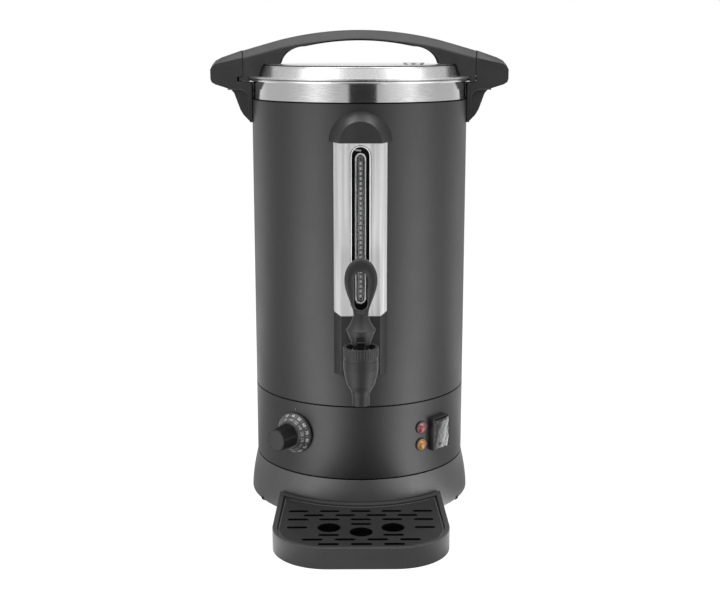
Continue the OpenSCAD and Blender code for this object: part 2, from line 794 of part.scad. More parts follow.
module tap_body() {
    color("#303030") difference() {
        union() {
            translate([0, tap_y, 0]) rotate_extrude() polygon([
                [0, spout_z], [spout_r, spout_z], [spout_r, spout_z + spout_l],
                [spout_r + 1.1, spout_z + 13.6], [tap_r - 3.5, spout_z + 19.4],
                [tap_r - 1.4, spout_z + 27], [tap_r, spout_z + 34.7],
                [tap_r, tap_top], [0, tap_top]]);
            on_casing(0, -gauge_y - 8, shank_z) cylinder(r = shank_r + 2, h = tap_out - gauge_out + 4);
        }
        translate([0, tap_y, tap_top]) cylinder(r = collar_r + free, h = collar_h);
        translate([0, tap_y, spout_z - cut]) cylinder(r = spout_bore_r, h = 60);
        translate([0, tap_y, chamber_z]) cylinder(r = chamber_r, h = 60);
        on_casing(0, -gauge_y - 10, shank_z) cylinder(r = shank_r + 0.02, h = 18);
        on_casing(0, -gauge_y - 10, shank_z) cylinder(r = shank_bore_r, h = tap_out - gauge_out + 6);
    }
}

module tap_collar() {
    color("#303030") translate([0, tap_y, tap_top]) difference() {
        linear_extrude(collar_h) polygon([for (i = [0:2 * collar_ribs - 1])
            let (a = 180 * i / collar_ribs, q = collar_r - 0.5 * (i % 2)) [q * cos(a), q * sin(a)]]);
        translate([0, 0, collar_floor]) cylinder(r = collar_r - 2.8, h = collar_h);
        translate([0, 0, -cut]) cylinder(r = valve_stem_r + 0.3, h = collar_h);
    }
}

module tap_shank() {
    back = tank_r - 12;
    color("#b9bcc0") difference() {
        on_casing(0, back, shank_z) cylinder(r = shank_r, h = -gauge_y + 7 - back);
        on_casing(0, back - cut, shank_z) cylinder(r = shank_bore_r, h = 60);
    }
}

module shank_nut() {
    color("#c9b26a") on_casing(0, tank_r - steel_t - 9, shank_z)
        hex_nut(shank_r + 4.5, shank_r + 0.02, 5);
}

// Soft washers that take the curve of the tank wall, one each side
module tank_washers() {
    color("#b33a2c") difference() {
        union() {
            intersection() {
                on_casing(0, tank_r - 14, shank_z) cylinder(r = shank_r + 3, h = 40);
                tube(tank_r + 3, tank_r + 0.1, shank_z - 20, shank_z + 20);
            }
            difference() {
                on_casing(0, tank_r - steel_t - 4, shank_z) cylinder(r = shank_r + 3, h = 8);
                tube(tank_r + 10, tank_r - steel_t - 0.1, shank_z - 20, shank_z + 20);
            }
        }
        on_casing(0, tank_r - 20, shank_z) cylinder(r = shank_r + 0.02, h = 60);
    }
}

// A coil about Z, swept with a six-sided wire; its ends lie inside z0 and z1
module coil(r, wire, turns, z0, z1) {
    n = turns * 18;
    sides = 6;
    points = [for (i = [0:n], j = [0:sides - 1])
        let (a = 360 * turns * i / n, b = 360 * j / sides, q = r + wire * cos(b),
            z = z0 + wire + (z1 - z0 - 2 * wire) * i / n + wire * sin(b))
        [q * cos(a), q * sin(a), z]];
    skin = [for (i = [0:n - 1], j = [0:sides - 1], half = [0, 1])
        let (k = (j + 1) % sides, p = i * sides, q = p + sides)
        half == 0 ? [p + j, p + k, q + k] : [p + j, q + k, q + j]];
    ends = [[for (j = [sides - 1:-1:0]) j], [for (j = [0:sides - 1]) n * sides + j]];
    polyhedron(points = points, faces = concat(skin, ends));
}

module tap_spring() {
    color("#c4c7ca") translate([0, tap_y, 0])
        coil(6.2, 0.55, 5, chamber_z + 7.2, tap_top - 0.3);
}

// The stem, with its foot plate and the eye that holds the lever's pin
module valve_stem() {
    color("#c8c8c4") difference() {
        translate([0, tap_y, 0]) {
            translate([0, 0, chamber_z + 2]) cylinder(r = valve_stem_r, h = pin_z - chamber_z - 2);
            translate([0, 0, chamber_z + 5.6]) cylinder(r = cup_r - 1, h = 1.2);
            translate([-eye_half_w, -3.4, pin_z - 3.4]) cube([2 * eye_half_w, 6.8, 6.8]);
        }
        translate([-20, tap_y, pin_z]) rotate([0, 90, 0]) cylinder(r = lever_pin_r + 0.01, h = 40, $fn = 48);
    }
}

module valve_cup() {
    color("#e6e2da") translate([0, tap_y, chamber_z]) difference() {
        translate([0, 0, 0.2]) cylinder(r1 = cup_r - 0.8, r2 = cup_r, h = 5.3);
        translate([0, 0, 2]) cylinder(r = valve_stem_r + 0.02, h = 5);
    }
}

module lever_pin() {
    color("#d0d3d6") translate([-eye_half_w - prong_t - 1.2, tap_y, pin_z]) rotate([0, 90, 0])
        cylinder(r = lever_pin_r, h = 2 * (eye_half_w + prong_t + 1.2), $fn = 48);
}

// Half width of the lever's paddle at height z above the pin
function paddle_w(z) =
    let (wide = lever_h - paddle_round, turn = 180 * (wide - z) / (wide - waist_z))
    z > wide ? lever_half_w * sqrt(max(0, 1 - pow((z - wide) / paddle_round, 2)))
    : lever_waist + (lever_half_w - lever_waist) * pow(0.5 + 0.5 * cos(turn), 0.8);

// Side line of the lever's barrel: it swells from its foot, then draws in to the waist
function barrel_line() = concat(
    [for (t = [0:0.2:1]) [barrel_foot_r + (barrel_r - barrel_foot_r) * pow(t, 1.35),
        barrel_z0 + (barrel_z1 - barrel_z0) * t]],
    [for (t = [0.2:0.2:1]) [lever_waist + (barrel_r - lever_waist) * pow(1 - t, 1.75),
        barrel_z1 + (waist_z - barrel_z1) * t]]);

module tap_lever() {
    steps = 28;
    heights = [for (i = [0:steps]) waist_z - 2 + (lever_h - waist_z + 2) * sin(90 * i / steps)];
    outline = concat([for (z = heights) [paddle_w(max(z, waist_z)), z]],
        [for (i = [steps - 1:-1:0]) [-paddle_w(max(heights[i], waist_z)), heights[i]]]);
    color("#303030") translate([0, tap_y, pin_z]) difference() {
        union() {
            intersection() {
                rotate([90, 0, 0]) translate([0, 0, -20]) linear_extrude(40) polygon(outline);
                rotate([90, 0, 90]) translate([0, 0, -20]) linear_extrude(40) polygon([
                    [-6.6, waist_z - 3], [6.6, waist_z - 3], [5.2, waist_z + 18],
                    [3.6, lever_h + 1], [-3.6, lever_h + 1], [-5.2, waist_z + 18]]);
            }
            rotate_extrude() polygon(concat([[0, barrel_z0]], barrel_line(),
                [[lever_waist - 0.4, waist_z + 3], [0, waist_z + 3]]));
            for (s = [-1, 1]) translate([s * (eye_half_w + prong_t / 2 + free) - prong_t / 2, 0, 0])
                rotate([90, 0, 90]) linear_extrude(prong_t) polygon([[4, -3], [4, 10], [-4, 10],
                    [-4, 0], [-8, -3.2], [-8, -5.4], [1.5, -5.4]]);
        }
        translate([-eye_half_w - free, -20, -10]) cube([2 * (eye_half_w + free), 40, 25]);
        rotate([0, 90, 0]) translate([0, 0, -20]) cylinder(r = lever_pin_r + run, h = 40, $fn = 48);
        slot_z(lever_hole_w, waist_z + 11.5, lever_h - 17.5, -20, 20);
    }
}

// ---------- lid ----------

module lid_profile(grow) {
    e = lid_edge_r;
    polygon(concat([[0, flange_z0 - grow], [flange_r + grow, flange_z0 - grow],
        [flange_r + grow, flange_z1 + grow], [lid_foot_r + grow, flange_z1 + grow]],
        [for (a = [0:22.5:90]) [lid_top_r - e + (e + grow) * cos(a), lid_top - e + (e + grow) * sin(a)]],
        [[0, lid_top + grow]]));
}

module lid_pan() {
    t = steel_t;
    color("#dcdedf") difference() {
        union() {
            rotate_extrude() lid_profile(0);
            tube(skirt_r, skirt_r - t, flange_z0 - lid_skirt, flange_z0 + t);
        }
        rotate_extrude() polygon([[0, flange_z0 - cut], [skirt_r - t, flange_z0 - cut],
            [skirt_r - t, flange_z0 + t / 2], [lid_foot_r - t, flange_z1],
            [lid_top_r - t, lid_top - lid_edge_r], [lid_top_r - lid_edge_r, lid_top - t],
            [0, lid_top - t]]);
        for (x = [-1, 1], y = [-1, 1]) translate([x * lid_screw_x, y * handle_half_w / 2, lid_top - 5])
            cylinder(r = lid_screw_r + 0.2, h = 10, $fn = 48);
    }
}

module lid_seal() {
    color("#3b3b3b") tube(seal_r, skirt_r + free, flange_z0 - lid_skirt + 1, flange_z0 - 0.2);
}

module lid_vent() {
    color("#cfd1d3") translate([vent_x, -20, lid_top]) {
        cylinder(r = vent_r - 1.5, h = vent_h - 0.8);
        translate([0, 0, vent_h - 0.8]) cylinder(r = vent_r, h = 0.8);
    }
}

module lid_screws() {
    color("#c9ccd0") for (x = [-1, 1], y = [-1, 1])
        translate([x * lid_screw_x, y * handle_half_w / 2, lid_top - steel_t])
            pan_screw(lid_screw_r, lid_screw_l);
}

// Height of the handles' top line: an arc that runs out straight
function arch_line(x) =
    let (bend = min(abs(x), arch_bend), rise = sqrt(pow(arch_top_r, 2) - bend * bend))
    arch_top - arch_top_r + rise - (abs(x) - bend) * bend / rise;

// The handle's side view, lowered by the bevel for its full-width layer
module arch_side(drop) {
    half = seam_r + 4;
    steps = 24;
    polygon(concat([for (i = [0:steps]) let (x = half - 2 * half * i / steps)
        [x, arch_line(x) - drop]],
        [[-half, block_z], [half, block_z]]));
}

module finger_window() {
    under_z = arch_top - arch_t - arch_under_r;
    intersection() {
        union() {
            hull() for (s = [-1, 1]) translate([s * (window_half_l - window_end_r), lid_top - 3])
                circle(r = window_end_r, $fn = 48);
            translate([-window_half_l + window_end_r, lid_top - 10])
                square([2 * (window_half_l - window_end_r), 60]);
        }
        translate([0, under_z]) circle(r = arch_under_r, $fn = 360);
    }
}

module lid_handle() {
    w = handle_half_w;
    color("#333435") difference() {
        union() {
            intersection() {
                difference() {
                    hull() {
                        rotate([90, 0, 0]) translate([0, 0, -w + handle_bevel])
                            linear_extrude(2 * (w - handle_bevel)) arch_side(0);
                        rotate([90, 0, 0]) translate([0, 0, -w]) linear_extrude(2 * w)
                            arch_side(handle_bevel);
                    }
                    rotate([90, 0, 0]) translate([0, 0, -30]) linear_extrude(60) finger_window();
                }
                translate([0, 0, block_z - cut]) cylinder(r = seam_r, h = 80, $fn = 180);
            }
            for (a = [0, 180]) rotate([0, 0, a]) intersection() {
                translate([-seam_r - tongue_reach - 1, -w, tongue_z]) cube([12, w - 2, tongue_h]);
                translate([0, 0, tongue_z]) cylinder(r = seam_r + tongue_reach, h = tongue_h, $fn = 180);
            }
        }
        rotate_extrude($fn = 180) {
            lid_profile(free);
            translate([0, block_z - 5]) square([flange_r + free, flange_z0 - block_z + 5]);
        }
        for (x = [-1, 1], y = [-1, 1]) translate([x * lid_screw_x, y * w / 2, lid_top - 5])
            cylinder(r = lid_screw_r + 0.02, h = lid_screw_l + 5.5, $fn = 48);
    }
}

// ---------- side handles ----------

// Places children at the handle screws, with local +Z out through the shell's wall
module at_handle_screws() {
    for (a = [0, 180], y = [-1, 1]) rotate([0, 0, a])
        translate([handle_screw_x, y * handle_half_w / 2, ledge_z - bracket_h + 6.5])
        rotate([0, 90, 0]) children();
}

// Side view of the grip: a wedge that runs out to a blunt end
module grip_side(drop) {
    top = arch_line(side_r);
    end_top = top - (grip_tip - grip_round - side_r) * tan(grip_slope);
    end_low = end_top - grip_end_h - 8;
    polygon([[side_r - 8, top - drop + 2.4], [side_r, top - drop],
        [grip_tip - grip_round, end_top - 0.7 * drop], [grip_tip - 5, end_top - 3 - 0.4 * drop],
        [grip_tip - 1.5, end_top - 7 - 0.25 * drop], [grip_tip, end_top - 11.6],
        [grip_tip, end_low], [grip_tip - 1.2, end_low - 3], [grip_tip - 4.7, end_low - 5.2],
        [side_r + 9, grip_floor], [side_r - 8, grip_floor]]);
}

// Side view of the mounting plate, with its ledge and the fillet under the grip
module plate_side() {
    face = body_r + bracket_t;
    foot = ledge_z - bracket_h;
    polygon(concat([[body_r - 12, foot], [face - 1.6, foot], [face, foot + 7]],
        [for (a = [180:-15:90])
            [face + grip_fillet * (1 + cos(a)), grip_floor - grip_fillet * (1 - sin(a))]],
        [[side_r + 6, grip_floor], [side_r + 6, ledge_z], [body_r - 12, ledge_z]]));
}

module web_side() {
    x0 = body_r;
    z0 = ledge_z - bracket_h;
    polygon([[x0, z0], [x0 + 2, z0 + 0.8], [x0 + 8, z0 + 7], [x0 + 11, z0 + 12],
        [x0 + 14, z0 + 20], [x0 + 17, z0 + 28.5], [x0 + 20, z0 + 32], [x0 + 26, z0 + 34],
        [x0 + 26, z0 + 37], [x0, z0 + 37]]);
}

module side_handle() {
    w = handle_half_w;
    color("#333435") difference() {
        union() {
            hull() {
                rotate([90, 0, 0]) translate([0, 0, -w + handle_bevel])
                    linear_extrude(2 * (w - handle_bevel)) grip_side(0);
                rotate([90, 0, 0]) translate([0, 0, -w]) linear_extrude(2 * w)
                    grip_side(handle_bevel);
            }
            rotate([90, 0, 0]) translate([0, 0, -w]) linear_extrude(2 * w) plate_side();
            rotate([90, 0, 0]) translate([0, 0, -web_half_w]) linear_extrude(2 * web_half_w) web_side();
        }
        translate([0, 0, ledge_z - 60]) cylinder(r = body_r + 0.02, h = 61, $fn = 180);
        translate([0, 0, ledge_z]) cylinder(r = side_r, h = 80, $fn = 180);
        difference() {
            translate([0, -1, tongue_z - 0.7]) cube([160, w + 20, tongue_h + 1.4]);
            translate([seam_r + tongue_reach + 0.7, -2, 0]) cube([60, w + 30, 600]);
        }
        at_handle_screws() cylinder(r = handle_screw_r + 0.02, h = handle_screw_l, $fn = 48);
    }
}

module handle_right() side_handle();
module handle_left() rotate([0, 0, 180]) side_handle();

module handle_screws() {
    color("#c9ccd0") at_handle_screws() pan_screw(handle_screw_r, handle_screw_l - 0.2);
}

// ---------- controls ----------

module thermostat() {
    depth = thermostat_d + 4;
    color("#b9a88a") on_casing(dial_az, band_in - depth, dial_z) difference() {
        union() {
            translate([-thermostat_w / 2, -thermostat_h / 2, 0])
                cube([thermostat_w, thermostat_h, thermostat_d]);
            cylinder(r = bush_r, h = depth + sheet_t + bush_out);
        }
        translate([0, 0, 8]) cylinder(r = shaft_r + run, h = 40, $fn = 48);
    }
}

// The thermostat's sensing bulb under the tank, and the thin tube that leads to it
module thermostat_bulb() {
    bend = 5;
    top = element_z - element_rod_r - bulb_r - free;
    box_top = dial_z + thermostat_h / 2;
    color("#b87a4a") rotate([0, 0, dial_az]) translate([0, -tie_circle, 0]) {
        translate([0, 0, box_top]) cylinder(r = capillary_r, h = top - bend - box_top, $fn = 24);
        translate([0, bend, top - bend]) rotate([90, 0, 90]) rotate([0, 0, 90])
            rotate_extrude(angle = 90, $fn = 48) translate([bend, 0]) circle(r = capillary_r, $fn = 24);
        translate([0, bend, top]) rotate([-90, 0, 0]) cylinder(r = capillary_r, h = 4, $fn = 24);
        translate([0, bend + 4, top]) rotate([-90, 0, 0]) cylinder(r = bulb_r, h = bulb_l);
    }
}

module thermostat_shaft() {
    color("#c9ccd0") on_casing(dial_az, band_in - 15.7, dial_z)
        cylinder(r = shaft_r, h = 15.7 + sheet_t + dial_h + 10, $fn = 48);
}

// The grip, from an eight-sided foot to a round face, with the hub that carries the skirt
module control_knob() {
    color("#262626") on_casing(dial_az, body_r, dial_z) difference() {
        union() {
            translate([0, 0, dial_h + 0.05]) rotate([0, 0, 11]) hull() {
                cylinder(r = knob_foot_r, h = 1, $fn = knob_flats);
                translate([0, 0, knob_l - 3]) cylinder(r = knob_face_r, h = 2, $fn = 48);
                translate([0, 0, knob_l - 1]) cylinder(r = knob_face_r - 1, h = 1, $fn = 48);
            }
            translate([0, 0, hub_z]) cylinder(r = hub_r, h = dial_h - hub_z + 1);
        }
        translate([0, 0, hub_z - cut]) cylinder(r = shaft_r + 0.02, h = dial_h + 8, $fn = 48);
    }
}

// The flared skirt that carries the dial's numbers
module dial_skirt() {
    h = dial_h;
    color("#5b5c5d") on_casing(dial_az, body_r, dial_z) rotate_extrude() polygon([
        [hub_r + 0.02, hub_z], [dial_r - 3.5, hub_z], [dial_r - 2, free], [dial_r, free],
        [dial_r, 2.6], [dial_r - 1.6, 4.2], [dial_r - 3.8, 6.4], [dial_r - 5.6, 8.8],
        [knob_foot_r + 1, h], [hub_r + 0.02, h]]);
}

// A domed lens that sits in its holder's rim
module pilot_lens(z) {
    on_casing(lamp_az, body_r + 0.3, z) {
        cylinder(r = lamp_r, h = 1.2);
        translate([0, 0, 1.2]) intersection() {
            translate([0, 0, -2.4]) sphere(r = lamp_r + 0.2, $fn = 64);
            cylinder(r = lamp_r - 0.4, h = 8);
        }
    }
}

module lamp_red() color("#c0393f") pilot_lens(lamp_red_z);
module lamp_amber() color("#e0a23c") pilot_lens(lamp_amber_z);

module lamp_holders() {
    color("#2c2c2c") for (z = [lamp_red_z, lamp_amber_z]) on_casing(lamp_az, band_in - 17, z)
        difference() {
            union() {
                cylinder(r = lamp_r - 1.2, h = 18.2 + sheet_t / 2);
                cylinder(r = lamp_r + 0.8, h = 16);
                translate([0, 0, 17 + sheet_t + 0.05]) cylinder(r = lamp_r + lamp_bezel_w, h = 1.2);
            }
            translate([0, 0, 17 + sheet_t + 0.29]) cylinder(r = lamp_r + 0.02, h = 4);
        }
}

module switch_body() {
    color("#1a1a1a") on_casing(switch_az, body_r, switch_z) difference() {
        union() {
            translate([-switch_w / 2 - 1.2, -switch_h / 2 - 1.4, 0.05])
                cube([switch_w + 2.4, switch_h + 2.8, bezel_t]);
            translate([-switch_w / 2, -switch_h / 2, -20]) cube([switch_w, switch_h, 20.1]);
        }
        translate([-switch_w / 2 + 1.2, -switch_h / 2 + 0.8, -9])
            cube([switch_w - 2.4, switch_h - 1.6, 30]);
        translate([-20, 0, rocker_pivot]) rotate([0, 90, 0]) cylinder(r = 1.25, h = 40, $fn = 48);
    }
}

module switch_rocker() {
    w = switch_w - 3;
    color("#2a2a2a") on_casing(switch_az, body_r, switch_z) translate([0, 0, rocker_pivot])
        rotate([-rocker_tilt, 0, 0]) {
            translate([-w / 2, 0, 0]) rotate([90, 0, 90]) linear_extrude(w)
                polygon([[-11.6, 0.5], [-11.8, 5], [0, 3.4], [11.8, 5], [11.6, 0.5], [0, -5]]);
            translate([-switch_w / 2 + 0.1, 0, 0]) rotate([0, 90, 0])
                cylinder(r = 1.2, h = switch_w - 0.2, $fn = 48);
        }
}

// The clear splash boot: a soft cap that lies against the band around the switch
module switch_boot() {
    in_w = boot_w - 2 * boot_wall;
    in_h = boot_h - 2 * boot_wall;
    color([0.9, 0.92, 0.93, 0.35]) difference() {
        on_casing(switch_az, body_r, switch_z) difference() {
            translate([-boot_w / 2, -boot_h / 2, -3]) cube([boot_w, boot_h, boot_out + 3]);
            translate([-in_w / 2, -in_h / 2, -4]) cube([in_w, in_h, boot_out + 4 - boot_wall]);
        }
        translate([0, 0, switch_z - 40]) cylinder(r = body_r + 0.02, h = 80, $fn = 180);
    }
}

module reset_cutout() {
    color("#222222") on_casing(reset_az, body_r, switch_z) difference() {
        union() {
            translate([0, 0, 0.05]) cylinder(r = reset_r + 3.4, h = 2.4);
            translate([0, 0, -18]) cylinder(r = reset_r + 1.6, h = 18.1);
            translate([0, 0, -20]) cylinder(r = 10, h = 8);
        }
        translate([0, 0, -9]) cylinder(r = reset_r + run, h = 20, $fn = 48);
    }
}

module reset_button() {
    color("#c0393f") on_casing(reset_az, body_r - 9 + reset_travel + 0.3, switch_z)
        cylinder(r = reset_r, h = 9 - reset_travel + 2.2, $fn = 48);
}

module cable_gland() {
    color("#232323") on_casing(180, body_r, gland_z) difference() {
        union() {
            translate([0, 0, 0.05]) cylinder(r = gland_bore_r + 5.6, h = 3, $fn = 6);
            translate([0, 0, 3]) cylinder(r1 = gland_bore_r + 4.4, r2 = gland_bore_r + 2.6, h = 9);
            translate([0, 0, -8]) cylinder(r = gland_bore_r + 2.4, h = 8.1);
        }
        translate([0, 0, -10]) cylinder(r = gland_bore_r, h = 30);
    }
}

module gland_nut() {
    color("#232323") on_casing(180, band_in - 5, gland_z)
        hex_nut(gland_bore_r + 6, gland_bore_r + 2.42, 4);
}

module terminal_block() {
    color("#ded9c8") difference() {
        translate([-terminal_w / 2, terminal_y, foot_h + plate_t])
            cube([terminal_w, terminal_d, terminal_h]);
        for (x = [-1:1], y = [0.25, 0.75])
            translate([x * terminal_w / 3, terminal_y + y * terminal_d, foot_h + plate_t + terminal_h / 2])
            cylinder(r = 2.4, h = terminal_h, $fn = 48);
    }
}

// ---------- drip tray ----------

// The tray in plan, drawn in by an inset from its outer wall; its back follows the base ring
module tray_plan(inset, back_r) {
    r = tray_corner_r - inset;
    b = tray_back_w - inset;
    corner = [for (a = [0:3.75:90]) [corner_x + r * cos(a), corner_y - r * sin(a)]];
    other = [for (i = [len(corner) - 1:-1:0]) [-corner[i][0], corner[i][1]]];
    difference() {
        polygon(concat([[b, -60]], corner, other, [[-b, -60]]));
        circle(r = back_r, $fn = 180);
    }
}

module drip_tray() {
    color("#3a3a3a") difference() {
        union() {
            linear_extrude(tray_h) tray_plan(0, tray_back_r);
            translate([-tongue_half_w, -tray_back_r - 3, tongue_z0])
                cube([2 * tongue_half_w, tray_back_r + 3 - tongue_end, tongue_t]);
        }
        translate([0, 0, tray_floor_t]) linear_extrude(tray_h)
            tray_plan(tray_rim_w + 1.6, grate_back_r + 1.6);
        translate([0, 0, grate_z0 - free]) linear_extrude(tray_h) tray_plan(tray_rim_w, grate_back_r);
    }
}

function slot_row(y, xs) = [for (x = xs) [x * grate_pitch, y]];

module drip_grate() {
    back = -grate_back_r - 11;
    front = -(tray_front - 14.4);
    row = 10.5;
    slots = concat(
        slot_row(back, [-2:2]), slot_row(back - row, [-1.5:1.5]), slot_row(back - 2 * row, [-2:2]),
        slot_row(back - 3.1 * row, [0]), slot_row(hole_y + 0.6, [-2, 2]),
        slot_row(front + 2 * row, [-1, 1]), slot_row(front + row, [-1.5:1.5]), slot_row(front, [-1:1]));
    color("#333333") difference() {
        translate([0, 0, grate_z0]) linear_extrude(grate_t)
            tray_plan(tray_rim_w + free, grate_back_r + free);
        for (x = [-1:1]) translate([x * grate_pitch, hole_y - (x == 0 ? row : 0), grate_z0 - cut])
            cylinder(r = grate_hole_r, h = grate_t + 2 * cut);
        for (p = slots) translate([p[0], p[1], grate_z0 - cut])
            slot_x(grate_slot_l, grate_slot_w, grate_t + 2 * cut);
    }
}

base_ring();
bottom_plate();
base_screws();
rubber_feet();
tie_rods();
tie_nuts();
control_band();
joint_ring();
heat_shield();
body_shell();
neck_seal();
inner_tank();
heat_spreader();
heating_element();
boil_dry_disc();
gauge_cover();
gauge_cap();
gauge_housing();
gauge_backing();
gauge_scale();
sight_glass();
gauge_grommets();
gauge_nuts();
tap_body();
tap_collar();
tap_shank();
shank_nut();
tank_washers();
tap_spring();
valve_stem();
valve_cup();
lever_pin();
tap_lever();
lid_seal();
lid_pan();
lid_handle();
lid_screws();
lid_vent();
handle_left();
handle_right();
handle_screws();
thermostat();
thermostat_bulb();
thermostat_shaft();
control_knob();
dial_skirt();
lamp_red();
lamp_amber();
lamp_holders();
switch_body();
switch_rocker();
switch_boot();
reset_cutout();
reset_button();
cable_gland();
gland_nut();
terminal_block();
drip_tray();
drip_grate();
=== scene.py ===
import math

import bpy
import numpy as np
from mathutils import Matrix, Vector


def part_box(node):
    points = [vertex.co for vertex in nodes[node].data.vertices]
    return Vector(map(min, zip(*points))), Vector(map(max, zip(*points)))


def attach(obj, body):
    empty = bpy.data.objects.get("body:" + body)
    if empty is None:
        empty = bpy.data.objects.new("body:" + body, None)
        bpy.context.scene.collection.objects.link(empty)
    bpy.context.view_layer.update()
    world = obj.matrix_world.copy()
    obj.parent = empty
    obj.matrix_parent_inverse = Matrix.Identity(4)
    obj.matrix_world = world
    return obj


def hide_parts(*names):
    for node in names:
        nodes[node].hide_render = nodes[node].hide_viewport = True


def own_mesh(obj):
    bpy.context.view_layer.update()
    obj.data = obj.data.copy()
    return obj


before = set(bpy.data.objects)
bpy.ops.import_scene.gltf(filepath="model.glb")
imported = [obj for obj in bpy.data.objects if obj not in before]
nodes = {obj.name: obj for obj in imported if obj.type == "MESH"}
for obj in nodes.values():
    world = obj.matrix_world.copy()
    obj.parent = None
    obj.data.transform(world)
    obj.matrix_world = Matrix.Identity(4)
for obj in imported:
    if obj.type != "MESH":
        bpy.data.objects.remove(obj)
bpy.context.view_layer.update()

# ---------- studio ----------
# A pale floor that gleams beside the urn, a soft box high on each side, a dim one above, and a
# dark card behind the camera, which gives the steel neck its dark stripe.

scene = bpy.context.scene
scene.view_settings.view_transform = "Standard"

CAMERA_OUT, CAMERA_UP = 1.2575, 0.46555
CAMERA_TURN, CAMERA_TILT = math.radians(-0.5), math.radians(78.064)
camera_data = bpy.data.cameras.new("camera")
camera_data.sensor_width, camera_data.lens, camera_data.shift_x = 36, 61.48, 0.0008
camera = bpy.data.objects.new("camera", camera_data)
camera.location = (CAMERA_OUT * math.sin(CAMERA_TURN), -CAMERA_OUT * math.cos(CAMERA_TURN), CAMERA_UP)
camera.rotation_euler = (CAMERA_TILT, 0, CAMERA_TURN)
scene.collection.objects.link(camera)
scene.camera = camera


def soft_box(name, azimuth, distance, height, width, tall, power):
    """A rectangular area lamp at an azimuth from the front, turned to face the urn's axis."""
    data = bpy.data.lights.new(name, "AREA")
    data.shape = "RECTANGLE"
    data.size, data.size_y, data.energy = width, tall, power
    lamp = bpy.data.objects.new(name, data)
    a = math.radians(azimuth)
    lamp.location = (distance * math.sin(a), -distance * math.cos(a), height)
    lamp.rotation_euler = (math.atan2(distance, height - 0.3), 0, a)
    scene.collection.objects.link(lamp)
    return lamp


soft_box("left_box", -52, 1.0, 1.45, 1.0, 1.0, 6.5)
soft_box("right_box", 60, 1.0, 1.45, 1.0, 1.0, 6.5)
soft_box("top_box", 0, 0.1, 1.7, 1.3, 1.0, 8.0).rotation_euler = (0, 0, 0)


def add(tree, kind, **values):
    """A node of a tree, with values for its named inputs."""
    node = tree.nodes.new("ShaderNode" + kind)
    for name, value in values.items():
        node.inputs[name.replace("_", " ")].default_value = value
    return node


def spread(tree, value, low, high, to_low=0.0, to_high=1.0):
    """A value between low and high, carried to between to_low and to_high and held beyond."""
    node = add(tree, "MapRange", From_Min=low, From_Max=high, To_Min=to_low, To_Max=to_high)
    tree.links.new(value, node.inputs["Value"])
    return node.outputs[0]


def reckon(tree, operation, first, second):
    """The result of a Math node on two values."""
    node = add(tree, "Math")
    node.operation = operation
    tree.links.new(first, node.inputs[0])
    tree.links.new(second, node.inputs[1])
    return node.outputs[0]


def mix(tree, share, first, second):
    """A mix of two shaders, by the share of the second."""
    node = add(tree, "MixShader")
    for place, value in zip(node.inputs, (share, first, second)):
        tree.links.new(value, place)
    return node.outputs[0]


# The background is pure white for the camera. What mirrors it sees a dim room, brighter behind
# the urn and overhead, with a soft lobe low on each flank. The rest of its light is an even fill.
world = bpy.data.worlds.new("studio")
world.use_nodes = True
tree = world.node_tree
tree.nodes.clear()
ray = add(tree, "LightPath")
toward = add(tree, "SeparateXYZ")
tree.links.new(add(tree, "TexCoord").outputs["Generated"], toward.inputs[0])
behind = spread(tree, toward.outputs["Y"], 0.45, 0.85, 0.5, 1.0)
above = spread(tree, toward.outputs["Z"], 0.2, 0.7, 0.5, 0.8)
LOBES = ((0.03, 0.2), (0.14, 1), (0.30, 0), (0.66, 0), (0.80, 0.6), (0.90, 1), (0.98, 0.2))
lobes = add(tree, "ValToRGB")
lobes.color_ramp.interpolation = "EASE"
while len(lobes.color_ramp.elements) < len(LOBES):
    lobes.color_ramp.elements.new(0.5)
for stop, (position, shade) in zip(lobes.color_ramp.elements, LOBES):
    stop.position, stop.color = position, (shade, shade, shade, 1)
tree.links.new(spread(tree, toward.outputs["X"], -1.0, 1.0), lobes.inputs["Fac"])
front = spread(tree, toward.outputs["Y"], -0.1, -0.5, 0.0, 0.5)
low = spread(tree, toward.outputs["Z"], 0.6, 0.2)
flanks = reckon(tree, "MULTIPLY", reckon(tree, "MULTIPLY", lobes.outputs["Color"], front), low)
room = add(tree, "Background", Color=(1, 1, 1, 1))
tree.links.new(reckon(tree, "ADD", reckon(tree, "MAXIMUM", behind, above), flanks), room.inputs["Strength"])
fill = add(tree, "Background", Color=(1, 1, 1, 1), Strength=0.35)
white = add(tree, "Background", Color=(1, 1, 1, 1), Strength=1)
unseen = mix(tree, ray.outputs["Is Glossy Ray"], fill.outputs[0], room.outputs[0])
straight = reckon(tree, "MAXIMUM", ray.outputs["Is Camera Ray"], ray.outputs["Is Transmission Ray"])
tree.links.new(mix(tree, straight, unseen, white.outputs[0]), add(tree, "OutputWorld").inputs["Surface"])
scene.world = world


def quads(rows, columns, round_rows, round_columns):
    """The faces of a grid of points, whose last row or column joins its first where it is round."""
    row, column = np.meshgrid(np.arange(rows if round_rows else rows - 1),
                              np.arange(columns if round_columns else columns - 1), indexing="ij")
    above, ahead = (row + 1) % rows, (column + 1) % columns
    faces = [row * columns + column, row * columns + ahead, above * columns + ahead, above * columns + column]
    return np.stack(faces, -1).reshape(-1, 4).tolist()


def stage_mesh(name, points, faces, material):
    """A mesh that belongs to the studio."""
    mesh = bpy.data.meshes.new(name)
    mesh.from_pydata(points, [], faces)
    mesh.materials.append(material)
    obj = bpy.data.objects.new(name, mesh)
    scene.collection.objects.link(obj)
    return obj


